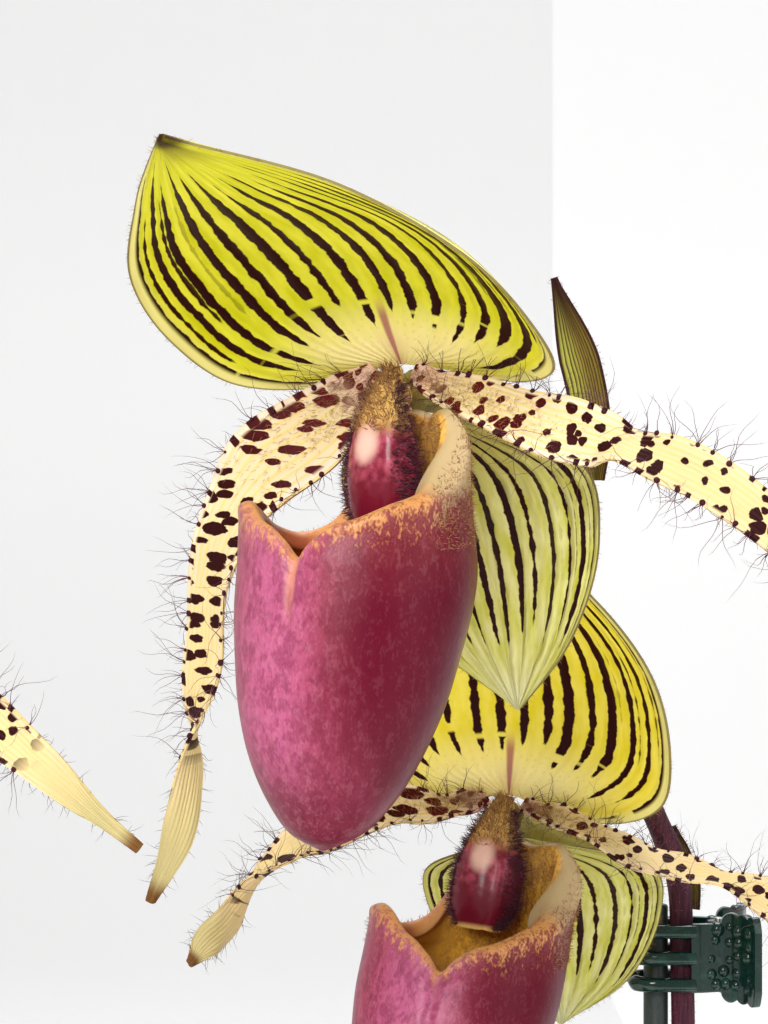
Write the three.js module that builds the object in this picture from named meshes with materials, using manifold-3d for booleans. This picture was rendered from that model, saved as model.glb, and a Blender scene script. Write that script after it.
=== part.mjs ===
// A potted multifloral slipper orchid: one plant with two leaf fans, two flowering stems and
// three open blooms, in a plain clay pot, with a stake and a toothed spring clip on the first stem.
// Millimetres, +Z up, origin at the middle of the pot's flat foot. The blooms face -Y.
import * as THREE from 'three';
import { mergeVertices } from 'three/addons/utils/BufferGeometryUtils.js';
import Module from 'manifold-3d';

const wasm = await Module();
wasm.setup();

// Pot and potting mix
const POT_HEIGHT = 120;
const POT_FOOT_RADIUS = 50;
const POT_RIM_RADIUS = 68.5;
const POT_RIM_HEIGHT = 22;
const POT_WALL = 4.5;
const POT_FLOOR = 5;
const POT_SIDES = 30;
const DRAIN_HOLE_RADIUS = 4;
const DRAIN_HOLE_RING = 28;
const DRAIN_HOLE_COUNT = 3;
const MIX_TOP = 104;
const MIX_CROWN = 3;
const SEAT_GAP = 0.35;
const BARK_CHIP_COUNT = 24;
const BARK_SEED = 7;

// Stems, stake and clip
const STEM_FOOT_Z = 88;
const STEM_RADIUS_FOOT = 2.3;
const STEM_RADIUS_TIP = 1.75;
const STAKE_RADIUS = 2.0;
const STAKE_FOOT = [37, 10, 22];
const STAKE_TOP = [39.4, 32.2, 336];
const CLIP_PIN = [49.5, 31, 328];
const CLIP_HEIGHT = 11;
const CLIP_WALL = 1.3;
const CLIP_PIN_RADIUS = 0.7;
const CLIP_BORE_RADIUS = 1.05;
const CLIP_KNUCKLE_RADIUS = 1.8;

// Leaves
const LEAF_FOOT_Z = 90;
const LEAF_HALF_WIDTH = 19;
const LEAF_THICKNESS = 1.6;
const LEAF_ROWS = 11;
const LEAF_COLUMNS = 4;

// Blooms
const SEPAL_THICKNESS = 1.0;
const PETAL_THICKNESS = 0.8;
const LIP_WALL = 1.15;
const LIP_COLUMNS = 20;

const COLOURS = {
  clay: [0xb5694a, 0.85], bark: [0x5a3a26, 0.95], leaf: [0x3f6b32, 0.45], stem: [0x4a2430, 0.7],
  stake: [0x1c2b28, 0.5], clip: [0x16483a, 0.3], steel: [0x9a9c9e, 0.35], bract: [0x6d7a30, 0.6],
  sepal: [0xc4cf3a, 0.5], petal: [0xe6dc9a, 0.55], lip: [0x96304f, 0.35], column: [0x8a3350, 0.5],
};

const part = new THREE.Group();

function material(name) {
  const [color, roughness] = COLOURS[name];
  return new THREE.MeshStandardMaterial({ color, roughness, metalness: name === 'steel' ? 1 : 0 });
}

function addMesh(parent, name, geometry, colour) {
  const mesh = new THREE.Mesh(geometry, material(colour));
  mesh.name = name;
  parent.add(mesh);
  return mesh;
}

function vector([x, y, z]) {
  return new THREE.Vector3(x, y, z);
}

// A bloom's own directions: right of it as one faces it, up, and forward out of its face.
function inBloom(right, up, forward) {
  return new THREE.Vector3(right, -forward, up);
}

function seededRandom(seed) {
  let state = seed;
  return () => {
    state = (state * 1664525 + 1013904223) % 4294967296;
    return state / 4294967296;
  };
}

// Smooth reading, at u from 0 to 1, of values spaced evenly along a piece.
function readProfile(values, u) {
  const curve = new THREE.CatmullRomCurve3(values.map((value) => new THREE.Vector3(value, 0, 0)));
  return curve.getPoint(u).x;
}

// Closed solids from points and triangles

function outwardGeometry(points, index) {
  let volume = 0;
  for (let i = 0; i < index.length; i += 3) {
    const [a, b, c] = [points[index[i]], points[index[i + 1]], points[index[i + 2]]];
    volume += a.dot(new THREE.Vector3().crossVectors(b, c));
  }
  const faces = index.slice();
  if (volume < 0) {
    for (let i = 0; i < faces.length; i += 3) [faces[i + 1], faces[i + 2]] = [faces[i + 2], faces[i + 1]];
  }
  const geometry = new THREE.BufferGeometry();
  geometry.setAttribute('position', new THREE.Float32BufferAttribute(points.flatMap((p) => [p.x, p.y, p.z]), 3));
  geometry.setIndex(faces);
  return geometry;
}

// A skin over a row of rings with a point at each end.
function ringSkin(startPole, rings, endPole) {
  const sides = rings[0].length;
  const points = [startPole, ...rings.flat(), endPole];
  const at = (ring, side) => 1 + ring * sides + (side % sides);
  const index = [];
  for (let side = 0; side < sides; side++) {
    index.push(0, at(0, side + 1), at(0, side));
    for (let ring = 0; ring + 1 < rings.length; ring++) {
      const [a, b] = [at(ring, side), at(ring, side + 1)];
      const [c, d] = [at(ring + 1, side + 1), at(ring + 1, side)];
      index.push(a, b, c, a, c, d);
    }
    index.push(points.length - 1, at(rings.length - 1, side), at(rings.length - 1, side + 1));
  }
  return outwardGeometry(points, index);
}

// A thin curved blade, from its middle surface; both faces are split alike.
function blade(rows, columns, middle, thickness) {
  const across = columns + 1;
  const mid = [];
  for (let i = 0; i <= rows; i++) {
    for (let j = 0; j <= columns; j++) mid.push(middle(i / rows, (2 * j) / columns - 1));
  }
  const cell = (i, j) => mid[i * across + j];
  const top = [];
  const bottom = [];
  for (let i = 0; i <= rows; i++) {
    for (let j = 0; j <= columns; j++) {
      const along = cell(Math.min(i + 1, rows), j).clone().sub(cell(Math.max(i - 1, 0), j));
      const side = cell(i, Math.min(j + 1, columns)).clone().sub(cell(i, Math.max(j - 1, 0)));
      const normal = along.cross(side).normalize().multiplyScalar(thickness / 2);
      top.push(cell(i, j).clone().add(normal));
      bottom.push(cell(i, j).clone().sub(normal));
    }
  }
  const under = top.length;
  const index = [];
  for (let i = 0; i < rows; i++) {
    for (let j = 0; j < columns; j++) {
      const [a, b] = [i * across + j, i * across + j + 1];
      const [c, d] = [b + across, a + across];
      index.push(a, b, c, a, c, d, under + a, under + c, under + b, under + a, under + d, under + c);
    }
  }
  const border = [];
  for (let j = 0; j < columns; j++) border.push(j);
  for (let i = 0; i < rows; i++) border.push(i * across + columns);
  for (let j = columns; j > 0; j--) border.push(rows * across + j);
  for (let i = rows; i > 0; i--) border.push(i * across);
  border.forEach((a, k) => {
    const b = border[(k + 1) % border.length];
    index.push(a, under + a, under + b, a, under + b, b);
  });
  return outwardGeometry([...top, ...bottom], index);
}

// A round tube of changing radius along a curve.
function taperedTube(curve, steps, sides, radiusAt) {
  const frames = curve.computeFrenetFrames(steps, false);
  const rings = [];
  for (let i = 0; i <= steps; i++) {
    const centre = curve.getPointAt(i / steps);
    const ring = [];
    for (let k = 0; k < sides; k++) {
      const angle = (2 * Math.PI * k) / sides;
      const offset = frames.normals[i].clone().multiplyScalar(Math.cos(angle));
      offset.addScaledVector(frames.binormals[i], Math.sin(angle));
      ring.push(centre.clone().addScaledVector(offset, radiusAt(i / steps)));
    }
    rings.push(ring);
  }
  return ringSkin(curve.getPointAt(0), rings, curve.getPointAt(1));
}

// Cuts and joins

function solid(geometry) {
  const bare = geometry.clone();
  bare.deleteAttribute('normal');
  bare.deleteAttribute('uv');
  const merged = mergeVertices(bare, 1e-4);
  return new wasm.Manifold(new wasm.Mesh({
    numProp: 3,
    vertProperties: new Float32Array(merged.attributes.position.array),
    triVerts: new Uint32Array(merged.index.array),
  }));
}

// The largest body of a solid, so that no loose scrap of a cut is kept.
function largestBody(whole) {
  const bodies = whole.decompose();
  return bodies.reduce((best, body) => (body.volume() > best.volume() ? body : best));
}

function geometryOf(whole) {
  const mesh = whole.getMesh();
  const geometry = new THREE.BufferGeometry();
  geometry.setAttribute('position', new THREE.BufferAttribute(new Float32Array(mesh.vertProperties), 3));
  geometry.setIndex(new THREE.BufferAttribute(new Uint32Array(mesh.triVerts), 1));
  return geometry;
}

function placedCylinder(radius, height, sides, x, y, z) {
  const geometry = new THREE.CylinderGeometry(radius, radius, height, sides);
  geometry.rotateX(Math.PI / 2);
  geometry.translate(x, y, z);
  return geometry;
}

function placedBox(width, depth, height, x, y, z) {
  const geometry = new THREE.BoxGeometry(width, depth, height);
  geometry.translate(x, y, z);
  return geometry;
}

// Pot

const POT_BODY_TOP = POT_HEIGHT - POT_RIM_HEIGHT;
const POT_BODY_RADIUS = 61;
const POT_INNER_FOOT = POT_FOOT_RADIUS - POT_WALL + 1;
const POT_INNER_TOP = POT_RIM_RADIUS - POT_WALL;

function potInnerRadius(z) {
  return POT_INNER_FOOT + ((z - POT_FLOOR) / (POT_HEIGHT - POT_FLOOR)) * (POT_INNER_TOP - POT_INNER_FOOT);
}

function potGeometry() {
  const profile = [
    [0, 0], [POT_FOOT_RADIUS - 1.5, 0], [POT_FOOT_RADIUS, 1.5], [POT_BODY_RADIUS, POT_BODY_TOP - 1],
    [POT_RIM_RADIUS - 3, POT_BODY_TOP], [POT_RIM_RADIUS - 2, POT_BODY_TOP + 2],
    [POT_RIM_RADIUS, POT_HEIGHT - 3], [POT_RIM_RADIUS - 0.8, POT_HEIGHT - 0.6],
    [POT_RIM_RADIUS - 2.2, POT_HEIGHT], [POT_INNER_TOP, POT_HEIGHT - 1.2],
    [POT_INNER_FOOT, POT_FLOOR], [0, POT_FLOOR],
  ].map(([radius, z]) => new THREE.Vector2(radius, z));
  const shell = new THREE.LatheGeometry(profile, POT_SIDES);
  shell.rotateX(Math.PI / 2);
  let pot = solid(shell);
  for (let k = 0; k < DRAIN_HOLE_COUNT; k++) {
    const angle = (2 * Math.PI * (k + 0.5)) / DRAIN_HOLE_COUNT;
    const [x, y] = [DRAIN_HOLE_RING * Math.cos(angle), DRAIN_HOLE_RING * Math.sin(angle)];
    pot = pot.subtract(solid(placedCylinder(DRAIN_HOLE_RADIUS, 3 * POT_FLOOR, 12, x, y, POT_FLOOR / 2)));
  }
  return geometryOf(pot);
}

// Leaves: each fan carries an outer and an inner strap leaf to either side of its stem.
// A leaf's arch gives distance from the fan's middle and height, from foot to tip.
const ARCHES = {
  outer: [[9.0, LEAF_FOOT_Z], [9.6, 112], [22, 142], [56, 170], [104, 176], [152, 158], [192, 124]],
  inner: [[4.2, LEAF_FOOT_Z], [4.8, 118], [12, 160], [36, 204], [76, 226], [120, 218], [158, 186]],
};
const LEAF_WIDTHS = [0.42, 0.5, 0.78, 0.95, 1.0, 0.96, 0.84, 0.6, 0.16];
// A leaf leaves its fan at the fan's bearing and turns to its own by the tip (degrees from +X).
const LEAVES = [
  { name: 'leaf_a_back_outer', fan: [18, 4], bearings: [90, 106], arch: 'outer', reach: 1.0, droop: 0 },
  { name: 'leaf_a_back_inner', fan: [18, 4], bearings: [90, 98], arch: 'inner', reach: 0.92, droop: 6 },
  { name: 'leaf_a_front_outer', fan: [18, 4], bearings: [-90, -36], arch: 'outer', reach: 1.04, droop: 10 },
  { name: 'leaf_a_front_inner', fan: [18, 4], bearings: [-90, -50], arch: 'inner', reach: 1.0, droop: 0 },
  { name: 'leaf_b_back_outer', fan: [-20, -3], bearings: [80, 158], arch: 'outer', reach: 0.96, droop: 4 },
  { name: 'leaf_b_back_inner', fan: [-20, -3], bearings: [80, 142], arch: 'inner', reach: 1.0, droop: 12 },
  { name: 'leaf_b_front_outer', fan: [-20, -3], bearings: [-100, -142], arch: 'outer', reach: 1.06, droop: 0 },
  { name: 'leaf_b_front_inner', fan: [-20, -3], bearings: [-100, -138], arch: 'inner', reach: 0.92, droop: 4 },
];

function leafGeometry(leaf, clearance) {
  const arch = ARCHES[leaf.arch];
  const [fanBearing, tipBearing] = leaf.bearings.map(THREE.MathUtils.degToRad);
  const spine = new THREE.CatmullRomCurve3(arch.map(([distance, z], k) => {
    const share = k / (arch.length - 1);
    const reach = k < 2 ? distance : distance * leaf.reach;
    const height = k === 0 ? z - clearance : z - leaf.droop * share * share;
    const bearing = k < 2 ? fanBearing : fanBearing + (tipBearing - fanBearing) * share;
    const [x, y] = [leaf.fan[0] + reach * Math.cos(bearing), leaf.fan[1] + reach * Math.sin(bearing)];
    return new THREE.Vector3(x, y, height);
  }));
  const foot = new THREE.Vector3(-Math.sin(fanBearing), Math.cos(fanBearing), 0);
  const middle = (u, v) => {
    const half = LEAF_HALF_WIDTH * readProfile(LEAF_WIDTHS, u) + clearance;
    const tangent = spine.getTangentAt(u);
    const flat = new THREE.Vector3(-tangent.y, tangent.x, 0);
    const side = flat.length() > 0.3 ? flat.normalize() : foot;
    const lift = new THREE.Vector3().crossVectors(side, tangent).normalize();
    const keel = (1 - 0.5 * u) * 3.4 * (half / LEAF_HALF_WIDTH) * Math.abs(v) * (u < 0.12 ? 0.3 : 1);
    const wave = 0.8 * Math.sin(9 * u + tipBearing) * Math.abs(v) * u;
    return spine.getPointAt(u).addScaledVector(side, half * v).addScaledVector(lift, -(keel + wave));
  };
  return blade(LEAF_ROWS, LEAF_COLUMNS, middle, LEAF_THICKNESS + 2 * clearance);
}

// Blooms. Every outline is a short list of [right, up, forward], half a piece where it is symmetrical.

const DORSAL_MIDVEIN = [
  [0, 0.4, -1.8], [0, 3.8, 0.8], [0, 8.6, 4.2], [0, 13.2, 10], [0, 16.6, 18.6], [0, 18.9, 31.2], [0, 22.2, 47.2],
];
const DORSAL_MARGIN = [
  [3.2, -0.1, -2.6], [16, -2.4, -3.2], [24.2, -1.6, 2.6], [26.1, 3.4, 12.4], [23.8, 10.2, 22.6],
  [14.8, 17.4, 33.4], [0.5, 22.3, 47.0],
];
const SYNSEPAL_MIDVEIN = [
  [0, -6.1, -5.2], [0, -14, -12], [0, -24, -18.5], [0, -35, -24.5], [0, -45, -31],
];
const SYNSEPAL_MARGIN = [
  [2.6, -6.1, -5.2], [18.2, -12.5, -10.5], [18.2, -21.5, -14.5], [12.0, -34.5, -22], [0.5, -45, -30.9],
];
const SYNSEPAL_LEAN = 3;
const SECTION_SWEEP = Math.PI / 3;

// A sepal leans to the right by up to lean millimetres above its middle, then is turned about its foot:
// lift raises its tip, sway moves the tip to the right (degrees).
function mirroredBlade(midvein, margin, rows, columns, lift, sway, lean) {
  const middleLine = new THREE.CatmullRomCurve3(midvein.map((p) => inBloom(...p)));
  const edgeLine = new THREE.CatmullRomCurve3(margin.map((p) => inBloom(...p)));
  const middle = (u, v) => {
    const centre = middleLine.getPoint(u);
    const edge = edgeLine.getPoint(u);
    const turn = Math.abs(v) * SECTION_SWEEP;
    const share = (1 - Math.cos(turn)) / (1 - Math.cos(SECTION_SWEEP));
    const right = (Math.sign(v) * edge.x * Math.sin(turn)) / Math.sin(SECTION_SWEEP)
      + lean * Math.sin(Math.PI * u ** 0.6);
    return new THREE.Vector3(
      right, centre.y + share * (edge.y - centre.y), centre.z + share * (edge.z - centre.z),
    );
  };
  const geometry = blade(rows, columns, middle, SEPAL_THICKNESS);
  const foot = inBloom(...midvein[0]);
  geometry.translate(-foot.x, -foot.y, -foot.z);
  geometry.rotateX(THREE.MathUtils.degToRad(lift));
  geometry.rotateY(THREE.MathUtils.degToRad(sway));
  geometry.translate(foot.x, foot.y, foot.z);
  return geometry;
}

// Petals: [right, up, forward, half width, twist in degrees] from base to tip.
const PETALS = {
  drooping_left: [
    [-3.1, -0.5, -0.4, 1.4, 0], [-6.0, -3.9, 0.1, 4.0, 0], [-10.4, -8.0, 2, 5.7, 0], [-16.8, -12.6, 4.4, 5.9, 0],
    [-22.5, -19.2, 4.4, 4.4, 0], [-26.6, -27, 3, 3.3, 0], [-29, -36.8, 1, 3.2, 0], [-31.2, -45, 0, 3.0, 30],
    [-32.2, -53, 0, 2.8, 95], [-34.5, -62, 0, 2.1, 140], [-39, -70.6, 0, 0.6, 160],
  ],
  spreading_right: [
    [2.8, -0.8, -0.2, 1.0, -20], [6.4, -2.6, 0.8, 2.3, -40], [13.9, -5.1, 2, 3.6, -50], [22, -7.9, 2, 4.2, -32],
    [29.6, -9.7, 2, 3.6, -10], [34, -11.2, 2, 2.9, -50], [41.7, -13.6, 1.4, 3.1, -10], [51.5, -20.4, 0, 2.7, -20], [60, -29, -2, 2.5, -50],
    [67, -40, -3, 1.9, -110], [71, -52, -4, 0.6, -140],
  ],
  sweeping_left: [
    [-2.8, -0.8, -0.2, 1.0, 10], [-5.4, -2.0, 0.8, 2.2, 30], [-9.2, -3.6, 1.6, 3.2, 40], [-14.6, -4.3, 4, 3.6, 30], [-20, -7.2, 9, 3.8, 10],
    [-25, -12, 14, 3.5, 0], [-27.5, -16.9, 20, 2.9, 30], [-28.6, -21.8, 25.6, 2.6, 80], [-29.2, -26.6, 30, 2.8, 110],
    [-29.8, -30.1, 35, 2.2, 130], [-30, -33.5, 40, 0.6, 140],
  ],
  level_right: [
    [2.8, -0.8, -0.2, 1.0, -20], [5.6, -1.8, 0.8, 2.0, -45], [9.2, -2.4, 1.5, 2.8, -50], [15.8, -4.5, 2, 3.4, -56],
    [22, -6.6, 2, 3.6, -54], [27.5, -7.2, 2, 3.2, -44], [33.4, -7.6, 1.4, 2.6, -60], [41, -9.4, 0, 2.9, -20], [50, -15, -2, 2.7, -30],
    [58, -25, -4, 2.1, -90], [62, -37, -5, 0.6, -130],
  ],
  reaching_right: [
    [2.8, -0.8, -0.2, 1.0, -20], [6.4, -2.4, 0.8, 2.2, -36], [14, -4.5, 2, 3.3, -40], [25, -8.5, 2, 4.2, -20], [37, -12.5, 2, 3.6, -30],
    [44, -17, 2, 3.0, -60], [52, -23, 2, 3.4, -10], [60, -29.2, 2, 3.3, 0], [66, -34, 1.6, 2.5, 0],
    [72, -39, 0.8, 1.5, 10], [78, -43.6, 0, 0.6, 20],
  ],
};
const PETAL_ROWS = 22;
const PETAL_COLUMNS = 3;

function petalGeometry(stations) {
  const spine = new THREE.CatmullRomCurve3(stations.map(([right, up, forward]) => inBloom(right, up, forward)));
  const halfWidths = stations.map((station) => station[3]);
  const twists = stations.map((station) => station[4]);
  const forward = inBloom(0, 0, 1);
  const middle = (u, v) => {
    const tangent = spine.getTangent(u);
    const across = new THREE.Vector3().crossVectors(forward, tangent).normalize();
    across.applyAxisAngle(tangent, THREE.MathUtils.degToRad(readProfile(twists, u)));
    const lift = new THREE.Vector3().crossVectors(tangent, across).normalize();
    const half = Math.max(readProfile(halfWidths, u), 0.5);
    const ripple = 0.35 * Math.sin(34 * u + 2 * v) * Math.abs(v);
    return spine.getPoint(u).addScaledVector(across, half * v)
      .addScaledVector(lift, 0.12 * half * v * v + ripple);
  };
  return blade(PETAL_ROWS, PETAL_COLUMNS, middle, PETAL_THICKNESS);
}

// Lip: a pouch. Its rim runs once round the mouth from the notch in front, over the right side.
const LIP_RIM = [
  [0, -22.6, 22], [5.6, -20.4, 20.8], [10.4, -18.2, 17.6], [13.6, -16.8, 13.2],
  [14.9, -13.8, 9.2], [14.6, -9.6, 6.6], [11.5, -6.4, 5.2], [5.6, -6.8, -1.6],
  [0, -6.1, -3.2], [-5.6, -12.6, -2.8], [-9.6, -19.6, -0.6], [-12.8, -21.4, 2.8],
  [-14.4, -20.6, 7.6], [-14.2, -18.2, 12.6], [-11.2, -17.6, 17.4], [-5.8, -20.6, 20.9],
];
// [up, middle's forward, half width, half depth]
const POUCH = [
  [-25, 8.6, 14.9, 14.2], [-30, 9.4, 14.8, 14.0], [-36, 10.7, 13.9, 13.2], [-42, 12.0, 12.7, 12.0],
  [-48, 13.3, 10.6, 10.0], [-53, 14.2, 7.9, 7.4], [-56.8, 15.2, 4.6, 4.2],
];
const POUCH_TOE = [0, -59, 16];
// The pouch's back, and its depth from there to the notch.
const POUCH_BACK = 6;
const POUCH_REACH = 28;
const RIM_STEPS = [0.3, 0.62];
// How far the rim rolls into the mouth, round from the notch.
const RIM_ROLL = [1.0, 1.2, 1.9, 3.4, 5.2, 3.0, 0.7, 0.9, 1.0, 1.1, 1.5, 2.0, 2.4, 2.2, 1.6, 1.2];

// A pouch that sags hangs lower in front, more so the further forward.
function lipGeometry(sag) {
  const rimLine = new THREE.CatmullRomCurve3(LIP_RIM.map((p) => inBloom(...p)), true);
  const mouth = inBloom(0, -17, 8.4);
  const columns = [...Array(LIP_COLUMNS).keys()];
  const angleOf = (column) => (2 * Math.PI * column) / LIP_COLUMNS;
  const section = ([up, forward, halfWidth, halfDepth], shrink) => columns.map((column) => inBloom(
    (halfWidth - shrink) * Math.sin(angleOf(column)), up,
    forward + (halfDepth - shrink) * Math.cos(angleOf(column)),
  ));
  const rim = columns.map((column) => rimLine.getPoint(column / LIP_COLUMNS));
  const roll = columns.map((column) => readProfile([...RIM_ROLL, RIM_ROLL[0]], column / LIP_COLUMNS));
  const inward = (point, distance) => {
    const direction = mouth.clone().sub(point).setZ(0).normalize();
    return point.clone().addScaledVector(direction, distance);
  };
  const innerRim = rim.map((point, k) => inward(point, roll[k] + LIP_WALL).setZ(point.z - 0.8 - 0.3 * roll[k]));
  const crest = rim.map((point, k) => inward(point, 0.5 * (roll[k] + LIP_WALL)).setZ(point.z + 0.25 * roll[k]));
  const between = (from, to, share) => from.map((point, k) => point.clone().lerp(to[k], share));
  const outerTop = section(POUCH[0], 0);
  const innerTop = section(POUCH[0], LIP_WALL);
  const toe = inBloom(...POUCH_TOE);
  const rings = [
    ...POUCH.map((row) => section([row[0] + LIP_WALL * 0.4, ...row.slice(1)], LIP_WALL)).reverse(),
    ...RIM_STEPS.slice().reverse().map((share) => between(innerRim, innerTop, share)),
    innerRim, crest, rim,
    ...RIM_STEPS.map((share) => between(rim, outerTop, share)),
    ...POUCH.map((row) => section(row, 0)),
  ];
  const start = toe.clone().setZ(toe.z + 1.5 * LIP_WALL);
  for (const point of [start, ...rings.flat(), toe]) {
    point.z -= sag * ((POUCH_BACK - point.y) / POUCH_REACH) ** 2;
  }
  return ringSkin(start, rings, toe);
}

// Column with its shield-shaped staminode, one natural piece.
// [right, up, forward, half width, how far its sides turn back] down the shield
const SHIELD = [
  [0, -0.5, 0.4, 1.2, 0.2], [0, -4.2, 2.6, 2.4, 0.7], [0, -8.2, 4.4, 3.9, 1.8], [0, -12.5, 5.4, 5.0, 2.8],
  [0, -17.0, 5.2, 4.9, 2.6], [0, -20.6, 4.2, 3.0, 1.0],
];

function columnGeometry() {
  const spine = new THREE.CatmullRomCurve3(SHIELD.map(([right, up, forward]) => inBloom(right, up, forward)));
  const halfWidths = SHIELD.map((station) => station[3]);
  const turnBacks = SHIELD.map((station) => station[4]);
  const shield = blade(8, 4, (u, v) => {
    const half = readProfile(halfWidths, u);
    const bulge = -readProfile(turnBacks, u) * v * v;
    return spine.getPoint(u).add(inBloom(half * v, 0, bulge));
  }, 1.5);
  const stalk = taperedTube(new THREE.CatmullRomCurve3([
    inBloom(0, -3.4, -1.4), inBloom(0, -4.2, 0.6), inBloom(0, -6.2, 2.4),
  ]), 3, 8, (u) => 1.9 - 0.4 * u);
  const anthers = [-1, 1].map((side) => {
    const knob = new THREE.SphereGeometry(1.4, 6, 5);
    knob.translate(side * 1.9, -1.6, -6.0);
    return solid(knob);
  });
  return geometryOf(anthers.reduce((whole, knob) => whole.add(knob), solid(shield).add(solid(stalk))));
}

// yaw turns a bloom to its left as one faces it, roll leans its top to the right, tilt leans it back.
const BLOOMS = [
  { name: 'bloom_1', place: [-3.6, -60, 418.4], yaw: 33, roll: 0, tilt: 0, left: 'drooping_left', right: 'spreading_right',
    dorsalTurn: [0, 0], synsepalTurn: [0, 0], sag: 0 },
  { name: 'bloom_2', place: [13.6, 4, 357], yaw: 18, roll: 6, tilt: 15, left: 'sweeping_left', right: 'level_right',
    dorsalTurn: [-16, -3], synsepalTurn: [24, -10], sag: 5 },
  { name: 'bloom_3', place: [-110, -52, 403], yaw: 12, roll: 0, tilt: 4, left: 'drooping_left', right: 'reaching_right',
    dorsalTurn: [-3, 2], synsepalTurn: [6, 3], sag: 1.5 },
];

function bloomFrame(bloom) {
  const frame = new THREE.Group();
  frame.position.set(...bloom.place);
  const [yaw, roll, tilt] = [bloom.yaw, bloom.roll, bloom.tilt].map(THREE.MathUtils.degToRad);
  frame.rotation.set(-tilt, roll, -yaw, 'ZYX');
  frame.updateMatrixWorld();
  return frame;
}

function buildBloom(bloom) {
  const frame = bloomFrame(bloom);
  const dorsal = mirroredBlade(DORSAL_MIDVEIN, DORSAL_MARGIN, 11, 8, ...bloom.dorsalTurn, 0);
  const synsepal = mirroredBlade(SYNSEPAL_MIDVEIN, SYNSEPAL_MARGIN, 9, 6, ...bloom.synsepalTurn, SYNSEPAL_LEAN);
  addMesh(frame, `${bloom.name}_dorsal_sepal`, dorsal, 'sepal');
  addMesh(frame, `${bloom.name}_synsepal`, synsepal, 'sepal');
  addMesh(frame, `${bloom.name}_left_petal`, petalGeometry(PETALS[bloom.left]), 'petal');
  addMesh(frame, `${bloom.name}_right_petal`, petalGeometry(PETALS[bloom.right]), 'petal');
  addMesh(frame, `${bloom.name}_lip`, lipGeometry(bloom.sag), 'lip');
  addMesh(frame, `${bloom.name}_column`, columnGeometry(), 'column');
  part.add(frame);
}

// Flowering stems: each stem with the ovaries of its blooms, one natural piece.
const OVARY_TIP = [0, -2.9, -2.2];
const OVARY_SHOULDER = [0, -3.3, -14];
const STEMS = [
  {
    name: 'flowering_stem_a', colour: 'stem',
    route: [[18, 4, STEM_FOOT_Z], [19.5, 5.5, 130], [28, 11, 200], [39.4, 20.4, 265], [43.2, 28.2, 300],
      [43.4, 30.2, 328], [42.6, 29.9, 341], [36.6, 27, 356], [26.4, 21.5, 385], [25.0, 18, 402], [26.4, 15, 413.6]],
    ovaries: [{ bloom: 0, node: [26.4, 15, 412.6] }, { bloom: 1, node: [42.4, 29.8, 342] }],
  },
  {
    name: 'flowering_stem_b', colour: 'stem',
    route: [[-20, -3, STEM_FOOT_Z], [-22, -2.5, 130], [-36, 0, 200], [-56, 5, 275], [-72, 9, 335],
      [-80, 10, 375], [-86, 10, 399]],
    ovaries: [{ bloom: 2, node: [-86, 10, 398] }],
  },
];

function stemCurve(stem) {
  return new THREE.CatmullRomCurve3(stem.route.map(vector));
}

function stemRadius(u) {
  return STEM_RADIUS_FOOT + u * (STEM_RADIUS_TIP - STEM_RADIUS_FOOT);
}

function ovaryGeometry({ bloom, node }) {
  const frame = bloomFrame(BLOOMS[bloom]);
  const tip = inBloom(...OVARY_TIP).applyMatrix4(frame.matrixWorld);
  const shoulder = inBloom(...OVARY_SHOULDER).applyMatrix4(frame.matrixWorld);
  const root = vector(node);
  const bend = shoulder.clone().lerp(root, 0.5).add(new THREE.Vector3(0, 0, -1.5));
  const radii = [1.5, 1.5, 1.9, 2.5, 2.7, 2.6, 2.4];
  const curve = new THREE.CatmullRomCurve3([root, bend, shoulder, tip]);
  return taperedTube(curve, 9, 8, (u) => readProfile(radii, u));
}

function stemGeometry(stem) {
  const stalk = taperedTube(stemCurve(stem), 26, 8, stemRadius);
  const whole = stem.ovaries.reduce((joined, ovary) => joined.add(solid(ovaryGeometry(ovary))), solid(stalk));
  return geometryOf(whole);
}

// Bracts: folded boats that clasp the stem at each bloom's node: [x, y, z, half width].
const BRACTS = [
  { name: 'bract_1', open: [-0.35, -1, 0],
    stations: [[28.5, 20.1, 405, 2.2], [28.5, 19.8, 413, 4.0], [26.6, 18.6, 423, 4.2], [21.6, 15.4, 436.6, 0.5]] },
  { name: 'bract_2', open: [-0.25, -1, 0],
    stations: [[45.4, 32.9, 335, 1.7], [45.3, 33.3, 339.5, 2.0], [44.0, 33.5, 344, 1.8], [42.3, 33.2, 348.5, 0.5]] },
  { name: 'bract_3', open: [-0.35, -1, 0],
    stations: [[-83.6, 13.6, 390, 2.2], [-82.6, 14.6, 399, 4.8], [-84, 14, 410, 4.6], [-90, 11, 424, 0.5]] },
];

function bractGeometry(bract) {
  const spine = new THREE.CatmullRomCurve3(bract.stations.map(([x, y, z]) => new THREE.Vector3(x, y, z)));
  const halfWidths = bract.stations.map((station) => station[3]);
  const open = vector(bract.open).normalize();
  return blade(9, 4, (u, v) => {
    const half = readProfile(halfWidths, u);
    const across = new THREE.Vector3().crossVectors(open, spine.getTangent(u)).normalize();
    return spine.getPoint(u).addScaledVector(across, 0.75 * half * v)
      .addScaledVector(open, 0.55 * half * v * v);
  }, 0.9);
}

// Stake and clip

function stakeGeometry() {
  const line = new THREE.CatmullRomCurve3([vector(STAKE_FOOT), vector(STAKE_TOP)]);
  return taperedTube(line, 3, 12, (u) => (u > 0.999 ? STAKE_RADIUS - 0.4 : STAKE_RADIUS));
}

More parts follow.
